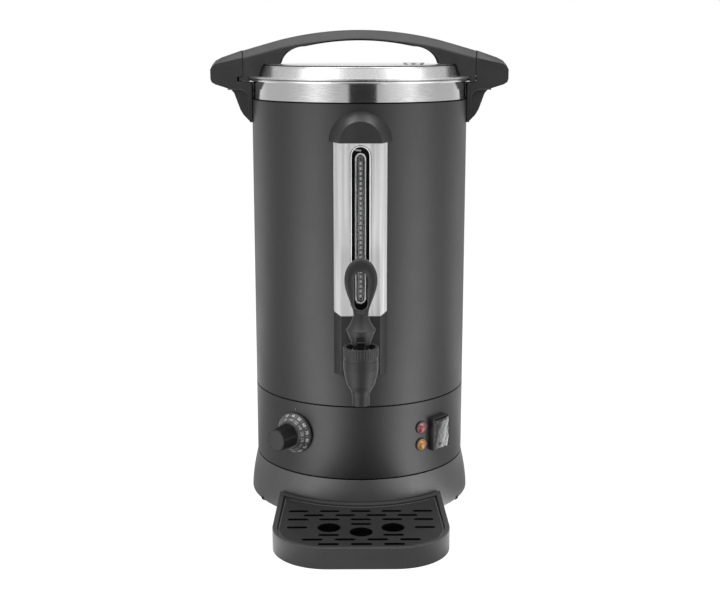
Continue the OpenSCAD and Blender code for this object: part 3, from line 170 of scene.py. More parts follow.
def floor_glow(azimuth, out):
    """How bright the floor is where it is mirrored: a lobe each side of the urn, fainter at the back.

    Each lobe is a bell curve in azimuth that turns inwards close to the urn and fades far out. It
    keeps clear of the middle below the urn. Ahead of the tray the floor is darker, except for a
    bright patch close to the tray.
    """
    folded = np.minimum(np.abs(azimuth), 180 - np.abs(azimuth))
    inwards = np.clip((0.8 - out) / 0.6, 0, 1)
    centre = np.where(azimuth < 0, 50 - 25 * inwards, 60 - 20 * inwards)
    clear = np.maximum(np.clip((np.abs(azimuth) - 16) / 12, 0, 1), np.clip((out - 0.21) / 0.11, 0, 1))
    power = np.where(np.abs(azimuth) < 90, 2.4, 0.6) * np.clip((7 - out) / 4, 0, 1) * clear
    side = power * np.exp(-((folded - centre) / 20) ** 2)
    ahead = np.exp(-(azimuth / 14) ** 2) * np.clip((2.4 - out) / 1.2, 0, 1)
    close = np.exp(-(azimuth / 15) ** 2) * np.clip((0.265 - out) / 0.04, 0, 1)
    return 0.5 + side - 0.38 * ahead + 0.9 * close


# The floor is a fan of rings. The camera sees it mostly by its own light, with the urn's shadow in
# the rest, and what mirrors it sees its glow.
floor_turn, floor_out = np.meshgrid(np.arange(-180, 180, 3), np.geomspace(0.03, 9, 48), indexing="ij")
floor_angle = np.radians(floor_turn)
floor_points = np.stack([floor_out * np.sin(floor_angle), -floor_out * np.cos(floor_angle),
                         floor_out * 0], -1)
floor_faces = quads(*floor_out.shape, True, False)
floor_faces.append(list(range(0, floor_out.size, floor_out.shape[1])))

floor_paint = bpy.data.materials.new("floor_paint")
floor_paint.use_nodes = True
tree = floor_paint.node_tree
tree.nodes.clear()
ray = add(tree, "LightPath")
matte = add(tree, "BsdfDiffuse", Color=(0.9, 0.9, 0.9, 1))
own_light = add(tree, "Emission", Strength=1.25)
mostly = spread(tree, ray.outputs["Is Camera Ray"], 0.0, 1.0, 0.0, 0.75)
plain = mix(tree, mostly, matte.outputs[0], own_light.outputs[0])
brightness = add(tree, "Attribute")
brightness.attribute_name = "glow"
gleam = add(tree, "Emission")
tree.links.new(brightness.outputs["Fac"], gleam.inputs["Strength"])
tree.links.new(mix(tree, ray.outputs["Is Glossy Ray"], plain, gleam.outputs[0]),
               add(tree, "OutputMaterial").inputs["Surface"])
floor = stage_mesh("floor", floor_points.reshape(-1, 3).tolist(), floor_faces, floor_paint)
glow = floor.data.attributes.new("glow", "FLOAT", "POINT")
glow.data.foreach_set("value", floor_glow(floor_turn, floor_out).ravel())

card_paint = bpy.data.materials.new("card_paint")
card_paint.use_nodes = True
card_sockets = card_paint.node_tree.nodes["Principled BSDF"].inputs
card_sockets["Base Color"].default_value = (0.02, 0.02, 0.02, 1)
card_sockets["Roughness"].default_value = 0.9
card_points = [(-0.3, -1.5, 0.2), (0.46, -1.5, 0.2), (0.46, -1.5, 0.85), (-0.3, -1.5, 0.85)]
card = stage_mesh("dark_card", card_points, [(0, 1, 2, 3)], card_paint)
card.visible_camera = False
card.visible_shadow = False
card.visible_diffuse = False

# ---------- painted casing ----------
# The shell and the control band are rolled steel sheet, sprayed in a fine textured charcoal
# paint. Dark strips in their seams paint the shade there, and the urn stands on four rubber feet.

MM = 0.001
CASING_R = 108


class Finish:
    """A Principled material on Object coordinates, and short calls that add its detail."""

    def __init__(self, name, colour, roughness, metallic=0.0, **sockets):
        self.material = bpy.data.materials.new(name)
        self.material.use_nodes = True
        self.tree = self.material.node_tree
        self.shader = self.tree.nodes["Principled BSDF"]
        sockets.update(Base_Color=(*colour, 1), Roughness=roughness, Metallic=metallic)
        for socket, value in sockets.items():
            self.shader.inputs[socket.replace("_", " ")].default_value = value
        self.place = add(self.tree, "TexCoord").outputs["Object"]
        self.normal = None

    def noise(self, scale, detail=3, stretch=(1, 1, 1)):
        """The value of a noise over the piece, with scale in waves per metre."""
        mapping = add(self.tree, "Mapping", Scale=stretch)
        self.tree.links.new(self.place, mapping.inputs["Vector"])
        node = add(self.tree, "TexNoise", Scale=scale, Detail=detail)
        self.tree.links.new(mapping.outputs[0], node.inputs["Vector"])
        return node.outputs["Fac"]

    def ramp(self, value, low, high, start=0.3, end=0.7):
        """A colour that runs from low to high as a value runs from start to end."""
        node = add(self.tree, "ValToRGB")
        for stop, position, colour in zip(node.color_ramp.elements, (start, end), (low, high)):
            stop.position, stop.color = position, (*colour, 1)
        self.tree.links.new(value, node.inputs["Fac"])
        self.tree.links.new(node.outputs["Color"], self.shader.inputs["Base Color"])

    def gloss(self, value, low, high):
        """Roughness that runs from low to high with a value."""
        self.tree.links.new(spread(self.tree, value, 0.3, 0.7, low, high), self.shader.inputs["Roughness"])

    def bump(self, value, depth, strength=1.0):
        """Relief of a depth in metres, on top of any relief already there."""
        node = add(self.tree, "Bump", Distance=depth, Strength=strength)
        self.tree.links.new(value, node.inputs["Height"])
        if self.normal is not None:
            self.tree.links.new(self.normal, node.inputs["Normal"])
        self.normal = node.outputs["Normal"]
        self.tree.links.new(self.normal, self.shader.inputs["Normal"])

    def soft_edges(self, radius):
        """Rounds the look of sharp edges by a radius in metres."""
        node = add(self.tree, "Bevel", Radius=radius)
        node.samples = 4
        self.normal = node.outputs["Normal"]
        self.tree.links.new(self.normal, self.shader.inputs["Normal"])


def wear(finish, *names):
    """CAD nodes take a finish in every slot."""
    for name in names:
        for held in nodes[name].material_slots:
            held.material = finish.material


charcoal_paint = Finish("charcoal_paint", (0.012, 0.012, 0.0125), 0.4, Specular_IOR_Level=0.8)
charcoal_paint.ramp(charcoal_paint.noise(9, 4), (0.011, 0.011, 0.0115), (0.013, 0.013, 0.0135))
charcoal_paint.gloss(charcoal_paint.noise(30), 0.38, 0.42)
charcoal_paint.bump(charcoal_paint.noise(1400, 2), 0.00006, 0.6)
wear(charcoal_paint, "body_shell", "control_band")

# One dark finish for the real rubber parts, and for the dark strips and sheets that paint the shade in seams,
# gaps, slots and hollows.
rubber_and_painted_shade = Finish("rubber_and_painted_shade", (0.003, 0.003, 0.003), 0.8, Specular_IOR_Level=0.08)
rubber_and_painted_shade.bump(rubber_and_painted_shade.noise(900), 0.00005)
wear(rubber_and_painted_shade, "joint_ring", "neck_seal", "lid_seal", "rubber_feet")


def corners(node):
    """The lowest and highest corner of a CAD node, in millimetres."""
    return [np.array(corner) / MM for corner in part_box(node)]


def piece(name, shapes, finish, body, replaced=(), sharp=35):
    """A smooth mesh of (points, faces) shapes in millimetres, on a body and in place of CAD nodes."""
    points, faces = [], []
    for more_points, more_faces in shapes:
        faces += [[int(i) + len(points) for i in face] for face in more_faces]
        points += (np.asarray(more_points) * MM).tolist()
    mesh = bpy.data.meshes.new(name)
    mesh.from_pydata(points, [], faces)
    mesh.materials.append(finish.material)
    mesh.polygons.foreach_set("use_smooth", [True] * len(mesh.polygons))
    mesh.set_sharp_from_angle(angle=math.radians(sharp))
    obj = bpy.data.objects.new(name, mesh)
    scene.collection.objects.link(obj)
    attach(obj, body)
    if replaced:
        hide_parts(*replaced)
    return obj


def skin(rings, ends=True, loop=False):
    """A skin over closed rings of equal length, with a fan over each end or joined in a loop.

    It faces out where each ring runs anticlockwise, seen from the end that the rings run to.
    """
    rings = np.asarray(rings, float)
    count, size = rings.shape[:2]
    points, faces = rings.reshape(-1, 3), quads(count, size, loop, True)
    if ends and not loop:
        this = np.arange(size)
        following, last = (this + 1) % size, (count - 1) * size
        faces += np.column_stack([this * 0 + len(points), following, this]).tolist()
        faces += np.column_stack([this * 0 + len(points) + 1, last + this, last + following]).tolist()
        points = np.vstack([points, rings[0].mean(0), rings[-1].mean(0)])
    return points, faces


def carried_round(section, step):
    """A closed section of (radius, height) points carried round the urn's axis."""
    turns = np.radians(np.arange(0, 360, step))[:, None]
    radius, height = np.asarray(section, float).T
    return skin(np.stack([radius * np.cos(turns), radius * np.sin(turns), height + turns * 0], -1), loop=True)


def seam_strip(low_z, high_z):
    """A strip round the casing that paints a seam's shade, its rounded front out by a hair."""
    middle, half, front = (low_z + high_z) / 2, (high_z - low_z) / 2, CASING_R + 0.08
    section = [(-1.0, -half), (-0.2, -half), (0.0, -half / 2), (0.0, half / 2), (-0.2, half), (-1.0, half)]
    return carried_round([(front + out, middle + up) for out, up in section], 3)


band_z0, band_z1 = corners("control_band")[0][2], corners("control_band")[1][2]
seams = [seam_strip(band_z0 - 1.4, band_z0 + 0.6), seam_strip(band_z1 - 0.4, band_z1 + 1.6)]
# These strips paint the shade in the seams below and above the control band.
piece("seam_shade_strips", seams, rubber_and_painted_shade, "urn")

# ---------- lid handle ----------
# One moulded arch, screwed to the lid, with broad chamfers along its edges and a finger window.
# Its two blocks stand on the lid's flange, and each sends a tongue into a side handle.


def moulded(name, colour, roughness, grain, depth, edge, shine=0.6, **sockets):
    """A moulded plastic: an even colour with a little mottle, a fine grain and soft edges."""
    finish = Finish(name, colour, roughness, Specular_IOR_Level=shine, **sockets)
    finish.soft_edges(edge)
    finish.ramp(finish.noise(14, 4), [c * 0.9 for c in colour], [c * 1.12 for c in colour])
    finish.gloss(finish.noise(60), roughness - 0.04, roughness + 0.04)
    finish.bump(finish.noise(grain, 2), depth, 0.7)
    return finish


grained_grey = moulded("grained_grey", (0.020, 0.020, 0.021), 0.46, 1100, 0.00008, 0.0007)
wear(grained_grey, "lid_handle")
arch_low, arch_high = corners("lid_handle")
LID_TOP, LID_R = corners("lid_pan")[1][2], corners("lid_pan")[1][0]
ARCH_CREST, ARCH_THICK, TOP_R, UNDER_R = arch_high[2] - 0.4, 10.1, 330, 258
# The window follows the arch's underside out to LEG_X, then a quarter ellipse down each leg.
LEG_X, LEG_OUT, LEG_UP = 54, 25.5, 20


def rounded(outline, radii, steps=4):
    """A closed outline with each corner rounded by a parabola that starts a radius away from it."""
    outline = np.asarray(outline, float)
    t = np.linspace(0, 1, steps + 1)[:, None]
    line = []
    for i, radius in enumerate(radii):
        before, corner, after = outline[i - 1], outline[i], outline[(i + 1) % len(outline)]
        start = corner + (before - corner) * radius / np.linalg.norm(before - corner)
        end = corner + (after - corner) * radius / np.linalg.norm(after - corner)
        line.append((1 - t) ** 2 * start + 2 * t * (1 - t) * corner + t ** 2 * end)
    return np.vstack(line)


def window_side():
    """The right half of the finger window: a circle's arc along the arch, then a leg's elliptic bend."""
    x = np.linspace(0, LEG_X, 15)
    under = np.column_stack([x, ARCH_CREST - ARCH_THICK - UNDER_R + np.sqrt(UNDER_R ** 2 - x * x)])
    t = np.radians(np.arange(8, 84, 8))
    leg = np.column_stack([LEG_X + LEG_OUT * np.sin(t), under[-1, 1] - LEG_UP + LEG_UP * np.cos(t)])
    return np.vstack([under, leg])


def both_sides(right):
    """A line that starts at x = 0, with its mirror image before it."""
    return np.vstack([right[:0:-1] * (-1, 1), right])


def lid_handle():
    """The arch as a skin over cross-sections along it, which bend to the lid's round at its ends.

    Its top is a circle's arc that runs on straight beyond straight_x.
    """
    tongue_reach, tongue_h, tongue_lift, straight_x = 4.2, 3.6, 0.6, 92
    seam, half, foot = arch_high[0] - tongue_reach, arch_high[1], arch_low[2]
    flange_z, flange_r = LID_TOP + 0.3, LID_R + 0.3
    ends = [(LEG_X + LEG_OUT, flange_z), (flange_r - 17.8, flange_z), (flange_r - 16, flange_z - 0.7),
            (flange_r - 15.3, flange_z - 2.5), (flange_r - 12, foot + 5.3), (flange_r, foot + 5.2),
            (flange_r + 0.02, foot), (seam, foot)]
    rings = []
    for s, bottom in both_sides(np.vstack([window_side(), ends])):
        arc = min(abs(s), straight_x)
        rise = math.sqrt(TOP_R ** 2 - arc ** 2)
        top = ARCH_CREST - TOP_R + rise - (abs(s) - arc) * arc / rise
        bevel = min(10 - 3 * abs(s) / seam, top - bottom - 1.6)
        section = rounded([(-half, bottom), (half, bottom), (half, top - bevel), (half - bevel, top),
                           (bevel - half, top), (-half, top - bevel)], (1, 1, 1.8, 2.5, 2.5, 1.8))
        share = min(max((abs(s) - 78) / 14, 0), 1)
        bend = share * share * (3 - 2 * share)
        x = math.copysign(1, s) * np.sqrt(s * s - bend * section[:, 0] ** 2)
        rings.append(np.column_stack([x, section]))
    y = np.linspace(2, half - 0.5, 7)
    near, far = np.sqrt((seam - 1) ** 2 - y * y), np.sqrt(arch_high[0] ** 2 - y * y)
    low, high = foot + tongue_lift, foot + tongue_lift + tongue_h
    plan = ((near, low), (near, high), (far, high), (far, low))
    tongue = np.stack([np.stack([x, y, y * 0 + z], -1) for x, z in plan], 1)
    return [skin(rings), skin(tongue * (-1, -1, 1)), skin(tongue)]


piece("lid_handle_arch", lid_handle(), grained_grey, "lid", ["lid_handle"])


def turned_over(shape):
    """A shape with its faces turned to the other side."""
    points, faces = shape
    return points, [face[::-1] for face in faces]


def window_liner():
    """A dark skin of painted shade just off the legs and the arch's underside, inside the window."""
    half = arch_high[1] - 1.0
    line = both_sides(np.vstack([window_side(), [(LEG_X + LEG_OUT, LID_TOP + 0.9)]]))
    ahead = np.gradient(line, axis=0)
    away = np.column_stack([ahead[:, 1], -ahead[:, 0]]) / np.linalg.norm(ahead, axis=1, keepdims=True)
    y, out = np.array([(-half, -0.3), (-half, 0.2), (half, 0.2), (half, -0.3)]).T
    rings = [line[:, :1] + away[:, :1] * out, y + line[:, :1] * 0, line[:, 1:] + away[:, 1:] * out]
    return turned_over(skin(np.stack(rings, -1)))


# This dark skin paints the shade inside the finger window.
piece("window_liner", [window_liner()], rubber_and_painted_shade, "lid")

# ---------- tank and lid ----------
# The tank, whose neck and rolled rim show, is drawn from stainless sheet and polished. The lid is
# pressed from a brushed sheet, and a dark line painted in the bend round its raised top stands
# in for the shade there.


def stainless(name, colour, roughness, stretch, depth, **sockets):
    """Stainless steel with scratches along the direction in which the noise is least stretched."""
    finish = Finish(name, colour, roughness, 1.0, **sockets)
    lines = finish.noise(100, 3, stretch)
    finish.ramp(lines, [c * 0.93 for c in colour], colour)
    finish.gloss(lines, roughness - 0.05, roughness + 0.05)
    finish.bump(lines, depth, 0.5)
    return finish


polished_steel = stainless("polished_steel", (0.84, 0.84, 0.845), 0.12, (1, 1, 30), 0.00001)
wear(polished_steel, "inner_tank")
lid_steel = stainless("lid_steel", (0.82, 0.82, 0.82), 0.28, (9, 9, 30), 0.000003)
wear(lid_steel, "lid_pan", "lid_vent")

# A thin dark ring in the bend of the lid's raised top paints the shade there.
BEND_R, BEND_OUT = 2.5, 93.5
bend = [(math.radians(a), BEND_R + out)
        for a, out in ((36, -0.2), (36, 0.1), (52, 0.15), (68, 0.1), (68, -0.2))]
edge_line = [(BEND_OUT + r * math.cos(a), LID_TOP - BEND_R + r * math.sin(a)) for a, r in bend]
piece("lid_shade_line", [carried_round(edge_line, 4)], rubber_and_painted_shade, "lid")

# ---------- side handles ----------
# Each wedge is moulded with its mounting plate and screwed to the shell. A raised bead in a lighter
# grey follows the plate and its fillet and paints its edge highlight, and dark strips against the
# shell and between the blocks and the lid paint the shade in those gaps.

tray_grey = moulded("tray_grey", (0.062, 0.062, 0.063), 0.5, 1100, 0.00006, 0.0007, 0.3)
wear(grained_grey, "handle_left", "handle_right")
# Half the wedge's width, the plate's face, the fillet above it and the grip's underside.
HANDLE_HALF, PLATE_X, FILLET_R, SHELF_Z = 18, 111.1, 8.5, 417.2


def bead(path, radius, flat=(0, 1, 0)):
    """A round bead along a path: rings of eight points across it, for a path square to flat."""
    path = np.asarray(path, float)
    ahead = np.gradient(path, axis=0)
    ahead /= np.linalg.norm(ahead, axis=1, keepdims=True)
    side = np.cross(ahead, flat)
    side /= np.linalg.norm(side, axis=1, keepdims=True)
    up = np.cross(ahead, side)
    turns = np.radians(np.arange(0, 360, 45))[None, :, None]
    return skin(path[:, None] + radius * (np.cos(turns) * side[:, None] + np.sin(turns) * up[:, None]))


def four_beads(line, half, radius):
    """A bead along a line of (x, z) points, at the front and the back of both handles."""
    return [bead([(side * x, front * half, z) for x, z in line], radius)
            for side in (-1, 1) for front in (-1, 1)]


fillet = np.radians(np.arange(12, 91, 13))
plate_line = [(PLATE_X - 0.5, z) for z in np.linspace(394, SHELF_Z - FILLET_R, 6)]
plate_line += np.column_stack([PLATE_X + FILLET_R - (FILLET_R + 0.5) * np.cos(fillet),
                               SHELF_Z - FILLET_R + (FILLET_R + 0.5) * np.sin(fillet)]).tolist()
plate_line += [(x, SHELF_Z + 0.5) for x in (123, 127, 131)]
# The beads' lighter grey paints the highlight along the plate's edge and fillet.
piece("handle_highlight_beads", four_beads(plate_line, HANDLE_HALF, 0.55), tray_grey, "urn")
shell_line = [(106.5, z) for z in np.linspace(386, 422, 10)] + [(106.8, 423.4), (107.8, 424.3)]
# Dark beads against the shell and the lid paint the shade in the gaps there.
piece("handle_gap_shades", four_beads(shell_line, HANDLE_HALF + 0.3, 0.75), rubber_and_painted_shade, "urn")
lid_line = [(LID_R - 17.4, LID_TOP + 0.2), (LID_R - 15.9, LID_TOP - 0.6), (LID_R - 15.1, LID_TOP - 2.4),
            (LID_R - 13.4, LID_TOP - 7), (LID_R - 11.9, arch_low[2] + 5.4)]
piece("lid_gap_shades", four_beads(lid_line, HANDLE_HALF + 0.1, 0.6), rubber_and_painted_shade, "lid")

# ---------- gauge cover ----------
# The cover is folded from sheet that is brushed lengthwise, between a moulded cap and housing.
# Its slot is pressed outwards into a bright rounded lip. Dark shows behind the glass.

gauge_grey = moulded("gauge_grey", (0.013, 0.013, 0.0135), 0.42, 1100, 0.00008, 0.0007, 1.0)
wear(gauge_grey, "gauge_cap", "gauge_housing")
hidden_black = moulded("hidden_black", (0.012, 0.012, 0.012), 0.5, 900, 0.00005, 0.0003)
wear(hidden_black, "gauge_backing")
brushed_steel = stainless("brushed_steel", (0.95, 0.95, 0.95), 0.5, (40, 40, 0.6), 0.00003, Anisotropic=0.8)
streaks = brushed_steel.noise(100, 2, (2.4, 2.4, 0.06))
brushed_steel.ramp(streaks, (0.76, 0.76, 0.76), (1.0, 1.0, 1.0), 0.35, 0.65)
wear(brushed_steel, "gauge_cover")
bright_edge = stainless("bright_edge", (0.9, 0.9, 0.9), 0.3, (2, 2, 2), 0.00001)
groove_shade_steel = stainless("groove_shade_steel", (0.16, 0.16, 0.16), 0.5, (2, 2, 2), 0.00001)


def round_stadium(half, z0, z1, front, section):
    """A closed section of (out, y) points carried round an upright stadium that lies at y = front."""
    turn = np.radians(np.linspace(0, 180, 17))
    top = np.column_stack([np.cos(turn), np.sin(turn)])
    away = np.vstack([top, -top])
    line = half * away + np.repeat([(0, z1), (0, z0)], len(turn), axis=0)
    out, y = np.array(section).T
    rings = [line[:, :1] + away[:, :1] * out, front + y + line[:, :1] * 0, line[:, 1:] + away[:, 1:] * out]
    return skin(np.stack(rings, -1), loop=True)


cover_low, cover_high = corners("gauge_cover")
slot = (8.2, cover_low[2] + 13.6, cover_high[2] - 11.6, cover_low[1])
lip = [(0.0, 1.2), (0.0, -0.1), (0.2, -0.4), (0.5, -0.5), (0.8, -0.35), (1.0, 0.02), (1.0, 0.3)]
piece("gauge_slot_lip", [round_stadium(*slot, lip)], bright_edge, "urn")
# A dark ring beside the lip paints the shade in the pressed groove there.
groove = [(1.15, 0.1), (1.15, -0.03), (1.7, -0.03), (1.7, 0.1)]
piece("gauge_groove", [round_stadium(*slot, groove)], groove_shade_steel, "urn")

# ---------- tap ----------
# A moulded body with a ribbed ring nut, which holds the valve and its spring. The lever is a flat
# loop for the finger on a turned barrel. A prong each side of the barrel's slot takes the pin.

# The lever stands LEVER_TALL above its pin, and its barrel narrows to the radius NECK at WAIST.
TAP_Y, LEVER_TALL, WAIST, NECK = -155, 86.5, 35, 7
satin_black = moulded("satin_black", (0.020, 0.020, 0.021), 0.5, 1500, 0.00004, 0.0005, 0.5,
                      Sheen_Weight=1.0, Sheen_Roughness=0.25)
wear(satin_black, "tap_body", "tap_lever")
wear(hidden_black, "tap_collar", "valve_stem")
wear(polished_steel, "lever_pin")


def lathe(radii, heights, step, middle_y=0.0):
    """Rings round an upright axis, each with one radius or with its own radii round the turn."""
    turns = np.radians(np.arange(0, 360, step))
    radii, heights = np.reshape(radii, (len(radii), -1)), np.reshape(heights, (-1, 1))
    return np.stack([radii * np.cos(turns), middle_y + radii * np.sin(turns), heights + turns * 0], -1)


def lever_loop():
    """The finger loop: a ring of flattened sections between the hole and the paddle's outline.

    The outline widens from the neck to the paddle as a raised cosine and closes as a half ellipse.
    The hole is a stadium round an upright spine.
    """
    half, end_r, hole_r, hole_z0, hole_z1 = 15.3, 20.5, 6.3, WAIST + 8.5, 67.2
    wide = LEVER_TALL - end_r
    heights = WAIST - 2 + (LEVER_TALL - WAIST + 2) * np.sin(np.radians(np.linspace(0, 90, 33)))
    rise = (wide - np.maximum(heights, WAIST)) / (wide - WAIST)
    widening = NECK + (half - NECK) * (0.5 + 0.5 * np.cos(math.pi * rise)) ** 0.8
    closing = half * np.sqrt(np.clip(1 - ((heights - wide) / end_r) ** 2, 0, 1))
    widths = np.where(heights > wide, closing, widening)
    right = np.column_stack([np.append((0, NECK * 0.35, NECK * 0.7), widths),
                             np.append([heights[0]] * 3, heights)])
    outer = np.vstack([right, right[-2:0:-1] * (-1, 1)])
    spine = np.column_stack([outer[:, 0] * 0, np.clip(outer[:, 1], hole_z0, hole_z1)])
    away = (outer - spine) / np.linalg.norm(outer - spine, axis=1, keepdims=True)
    inner = spine + hole_r * away
    middle, reach = (inner + outer) / 2, np.linalg.norm(outer - inner, axis=1) / 2
    thick = np.interp(outer[:, 1], (WAIST, WAIST + 18, LEVER_TALL), (6.6, 5.2, 3.6))
    turns = np.radians(np.arange(0, 360, 15))
    cosine, sine = np.cos(turns), np.sin(turns)
    across = np.outer(reach, np.copysign(np.abs(cosine) ** 0.75, cosine))
    depth = np.outer(thick, np.copysign(np.abs(sine) ** 0.75, sine))
    rings = [middle[:, :1] + across * away[:, :1], depth, middle[:, 1:] + across * away[:, 1:]]
    return skin(np.stack(rings, -1), loop=True)


def lever():
    """Loop, barrel, its two cheeks beside the slot, and the prongs, upright above the pin."""
    foot_r, foot_z, ring_r, ring_z, slot_half, slot_top = 8.8, 6, 13.8, 19.6, 3.9, 15
    up = np.linspace(0, 1, 9)
    flare = np.column_stack([foot_r + (ring_r - foot_r) * up ** 1.35, foot_z + (ring_z - foot_z) * up])
    taper = np.column_stack([NECK + (ring_r - 0.8 - NECK) * (1 - up) ** 1.75,
                             ring_z + 0.9 + (WAIST - ring_z - 0.9) * up])
    radii, heights = np.vstack([flare, [(ring_r, ring_z + 0.5)], taper, [(NECK - 0.6, WAIST + 0.4)]]).T
    levels = np.append(slot_top, heights[heights > slot_top + 0.3])
    shapes = [lever_loop(), skin(lathe(np.interp(levels, heights, radii), levels, 7.5))]
    levels = np.append(heights[heights < slot_top - 0.3], slot_top + 0.4)[:, None]
    spans = np.interp(levels, heights, radii)
    turns = np.arccos(slot_half / spans) * np.linspace(-1, 1, 25)
    cheek = np.stack([spans * np.cos(turns), spans * np.sin(turns), levels + turns * 0], -1)
    prong = rounded([(4, -3), (4, 10), (-4, 10), (-4, 0), (-8, -3.2), (-8, -5.4), (1.5, -5.4)],
                    (1.5, 0.5, 0.5, 1.5, 0.8, 0.8, 1.5))
    for side in (-1, 1):
        x0, x1 = sorted((side * slot_half, side * (slot_half + 3.2)))
        shapes.append(skin(cheek * (side, side, 1)))
        shapes.append(skin([np.column_stack([prong[:, 0] * 0 + x, prong]) for x in (x0, x1)]))
    pin = (0, TAP_Y, corners("tap_lever")[1][2] - LEVER_TALL)
    return [(points + pin, faces) for points, faces in shapes]


piece("lever_shape", lever(), satin_black, "lever", ["tap_lever"], 40)


def collar(ribs=40, deep=0.4):
    """The ring nut: rings at (radius, height), whose radius dips by a cosine per rib where ribbed is 1."""
    low, high = corners("tap_collar")
    tall = high[2] - low[2]
    radii, heights, ribbed = np.array([
        (15.9, 0, 0), (16.0, 0.3, 0), (16.0, 3.4, 0), (16.3, 3.7, 1), (16.3, tall - 1.4, 1),
        (16.5, tall - 1.0, 0), (16.6, tall - 0.5, 0), (16.3, tall, 0), (14.2, tall, 0), (13.8, tall - 0.4, 0),
        (13.8, tall - 5, 0)]).T
    wave = deep * (0.5 - 0.5 * np.cos(ribs * np.radians(np.arange(0, 360, 1.5))))
    return skin(lathe(radii[:, None] - ribbed[:, None] * wave, low[2] + heights, 1.5, TAP_Y))


piece("collar_ribs", [collar()], satin_black, "urn", ["tap_collar"])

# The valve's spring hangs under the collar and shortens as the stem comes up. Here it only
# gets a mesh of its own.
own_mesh(nodes["tap_spring"])

# ---------- level glass ----------
# A clear acrylic capsule with a fine bore. A white line round its edge paints the light that its
# edge refracts, and a strip of dashes behind the bore tells the level.

GLASS_Y, GLASS_Z0, GLASS_Z1 = -120.6, 227.8, 358.5
clear_tube = Finish("clear_tube", (1, 1, 1), 0.03, Transmission_Weight=1, IOR=1.45)
clear_tube.bump(clear_tube.noise(60), 0.00002, 0.3)
wear(clear_tube, "sight_glass")
scale_print = Finish("scale_print", (0.42, 0.42, 0.41), 0.5)
scale_print.bump(scale_print.noise(900), 0.00003)
wear(scale_print, "gauge_scale")
edge_highlight_white = Finish("edge_highlight_white", (1.0, 1.0, 1.0), 0.35, 1.0)
edge_highlight_white.bump(edge_highlight_white.noise(700), 0.00003)


def capsule(radius):
    """A closed capsule that stands upright: a half circle's rings at each end."""
    arc = np.radians(np.arange(-88, 1, 11))
    radii, rise = radius * np.cos(arc), radius * np.sin(arc)
    heights = np.append(GLASS_Z0 + rise, GLASS_Z1 - rise[::-1])
    return skin(lathe(np.append(radii, radii[::-1]), heights, 10, GLASS_Y))


def slat(x0, x1, z, tall, back, front, drop=0.0):
    """A thin upright plate between two depths behind the glass's front, lower at its right by a drop."""
    plan = [(x0, z), (x1, z - drop), (x1, z - drop + tall), (x0, z + tall)]
    return skin([[(x, GLASS_Y + y, height) for x, height in plan] for y in (back, front)])


piece("level_glass", [capsule(5.2), turned_over(capsule(3.4))], clear_tube, "urn",
      ["sight_glass"])
# The white line round the capsule paints the light refracted at its edge.
highlight_line = [(0.85, 0), (0, 0.7), (-0.85, 0), (0, -0.7)]
piece("glass_edge_highlight", [round_stadium(4.7, GLASS_Z0, GLASS_Z1, GLASS_Y - 3.0, highlight_line)], edge_highlight_white, "urn")
dashes = [slat(-1.0, 1.0, z, 3.0, -5.3, -5.6) for z in np.arange(GLASS_Z0 + 1, GLASS_Z1 - 2, 4.6)]
piece("scale_dashes", dashes, scale_print, "urn", ["gauge_scale"])
strip = slat(-3.9, 3.9, GLASS_Z0 - 3, GLASS_Z1 - GLASS_Z0 + 6, -1.2, -1.6)
piece("scale_strip", [strip], tray_grey, "urn")
glints = [slat(-5.6, 0.6, GLASS_Z1 + 7.2, 1.6, 0.6, 0, 0.7),
          slat(-4.0, 1.4, GLASS_Z0 - 5.9, 1.6, 0.6, 0, 0.7)]
piece("gauge_glints", glints, edge_highlight_white, "urn")

# ---------- dial ----------
# A flared skirt printed with degrees Celsius in tens and smaller Fahrenheit figures inside them,
# and a grip with flats. A fine mark on the band above it shows the setting.

DIAL_AZIMUTH, DIAL_Z = -36.5, 83.5
# The figures start at FIRST degrees clockwise from the top and lie STEP degrees apart.
FIRST, STEP = -22, 24.6
knob_black = moulded("knob_black", (0.006, 0.006, 0.0063), 0.45, 1500, 0.00004, 0.0003, 0.4)
wear(knob_black, "control_knob")
dial_grey = moulded("dial_grey", (0.075, 0.075, 0.077), 0.42, 1500, 0.00004, 0.0004)
wear(dial_grey, "dial_skirt")
white_print = Finish("white_print", (0.8, 0.8, 0.79), 0.5)
white_print.bump(white_print.noise(1500), 0.00002)
grey_print = Finish("grey_print", (0.5, 0.5, 0.5), 0.5)
grey_print.bump(grey_print.noise(1500), 0.00002)


def off_casing(points, azimuth, height):
    """Points with x across, y up and z out of the casing, carried to their azimuth and height."""
    across, up, out = np.asarray(points, float).T
    a = math.radians(azimuth)
    away = -(CASING_R + out)
    return np.column_stack([across * math.cos(a) - away * math.sin(a),
                            across * math.sin(a) + away * math.cos(a), height + up])


def filled(curve):
    """Points and faces of a flat curve, which is then removed."""
    obj = bpy.data.objects.new(curve.name, curve)
    scene.collection.objects.link(obj)
    mesh = bpy.data.meshes.new_from_object(obj.evaluated_get(bpy.context.evaluated_depsgraph_get()))
    points = np.empty(3 * len(mesh.vertices))
    mesh.vertices.foreach_get("co", points)
    faces = [list(face.vertices) for face in mesh.polygons]
    bpy.data.objects.remove(obj)
    bpy.data.curves.remove(curve)
    bpy.data.meshes.remove(mesh)
    return points.reshape(-1, 3), faces


def figures(text, size):
    """Flat points and faces of a line of figures around its centre, in millimetres."""
    curve = bpy.data.curves.new("figures", "FONT")
    curve.body, curve.size, curve.align_x, curve.align_y = text, size, "CENTER", "CENTER"
    curve.offset = size * 0.03
    return filled(curve)


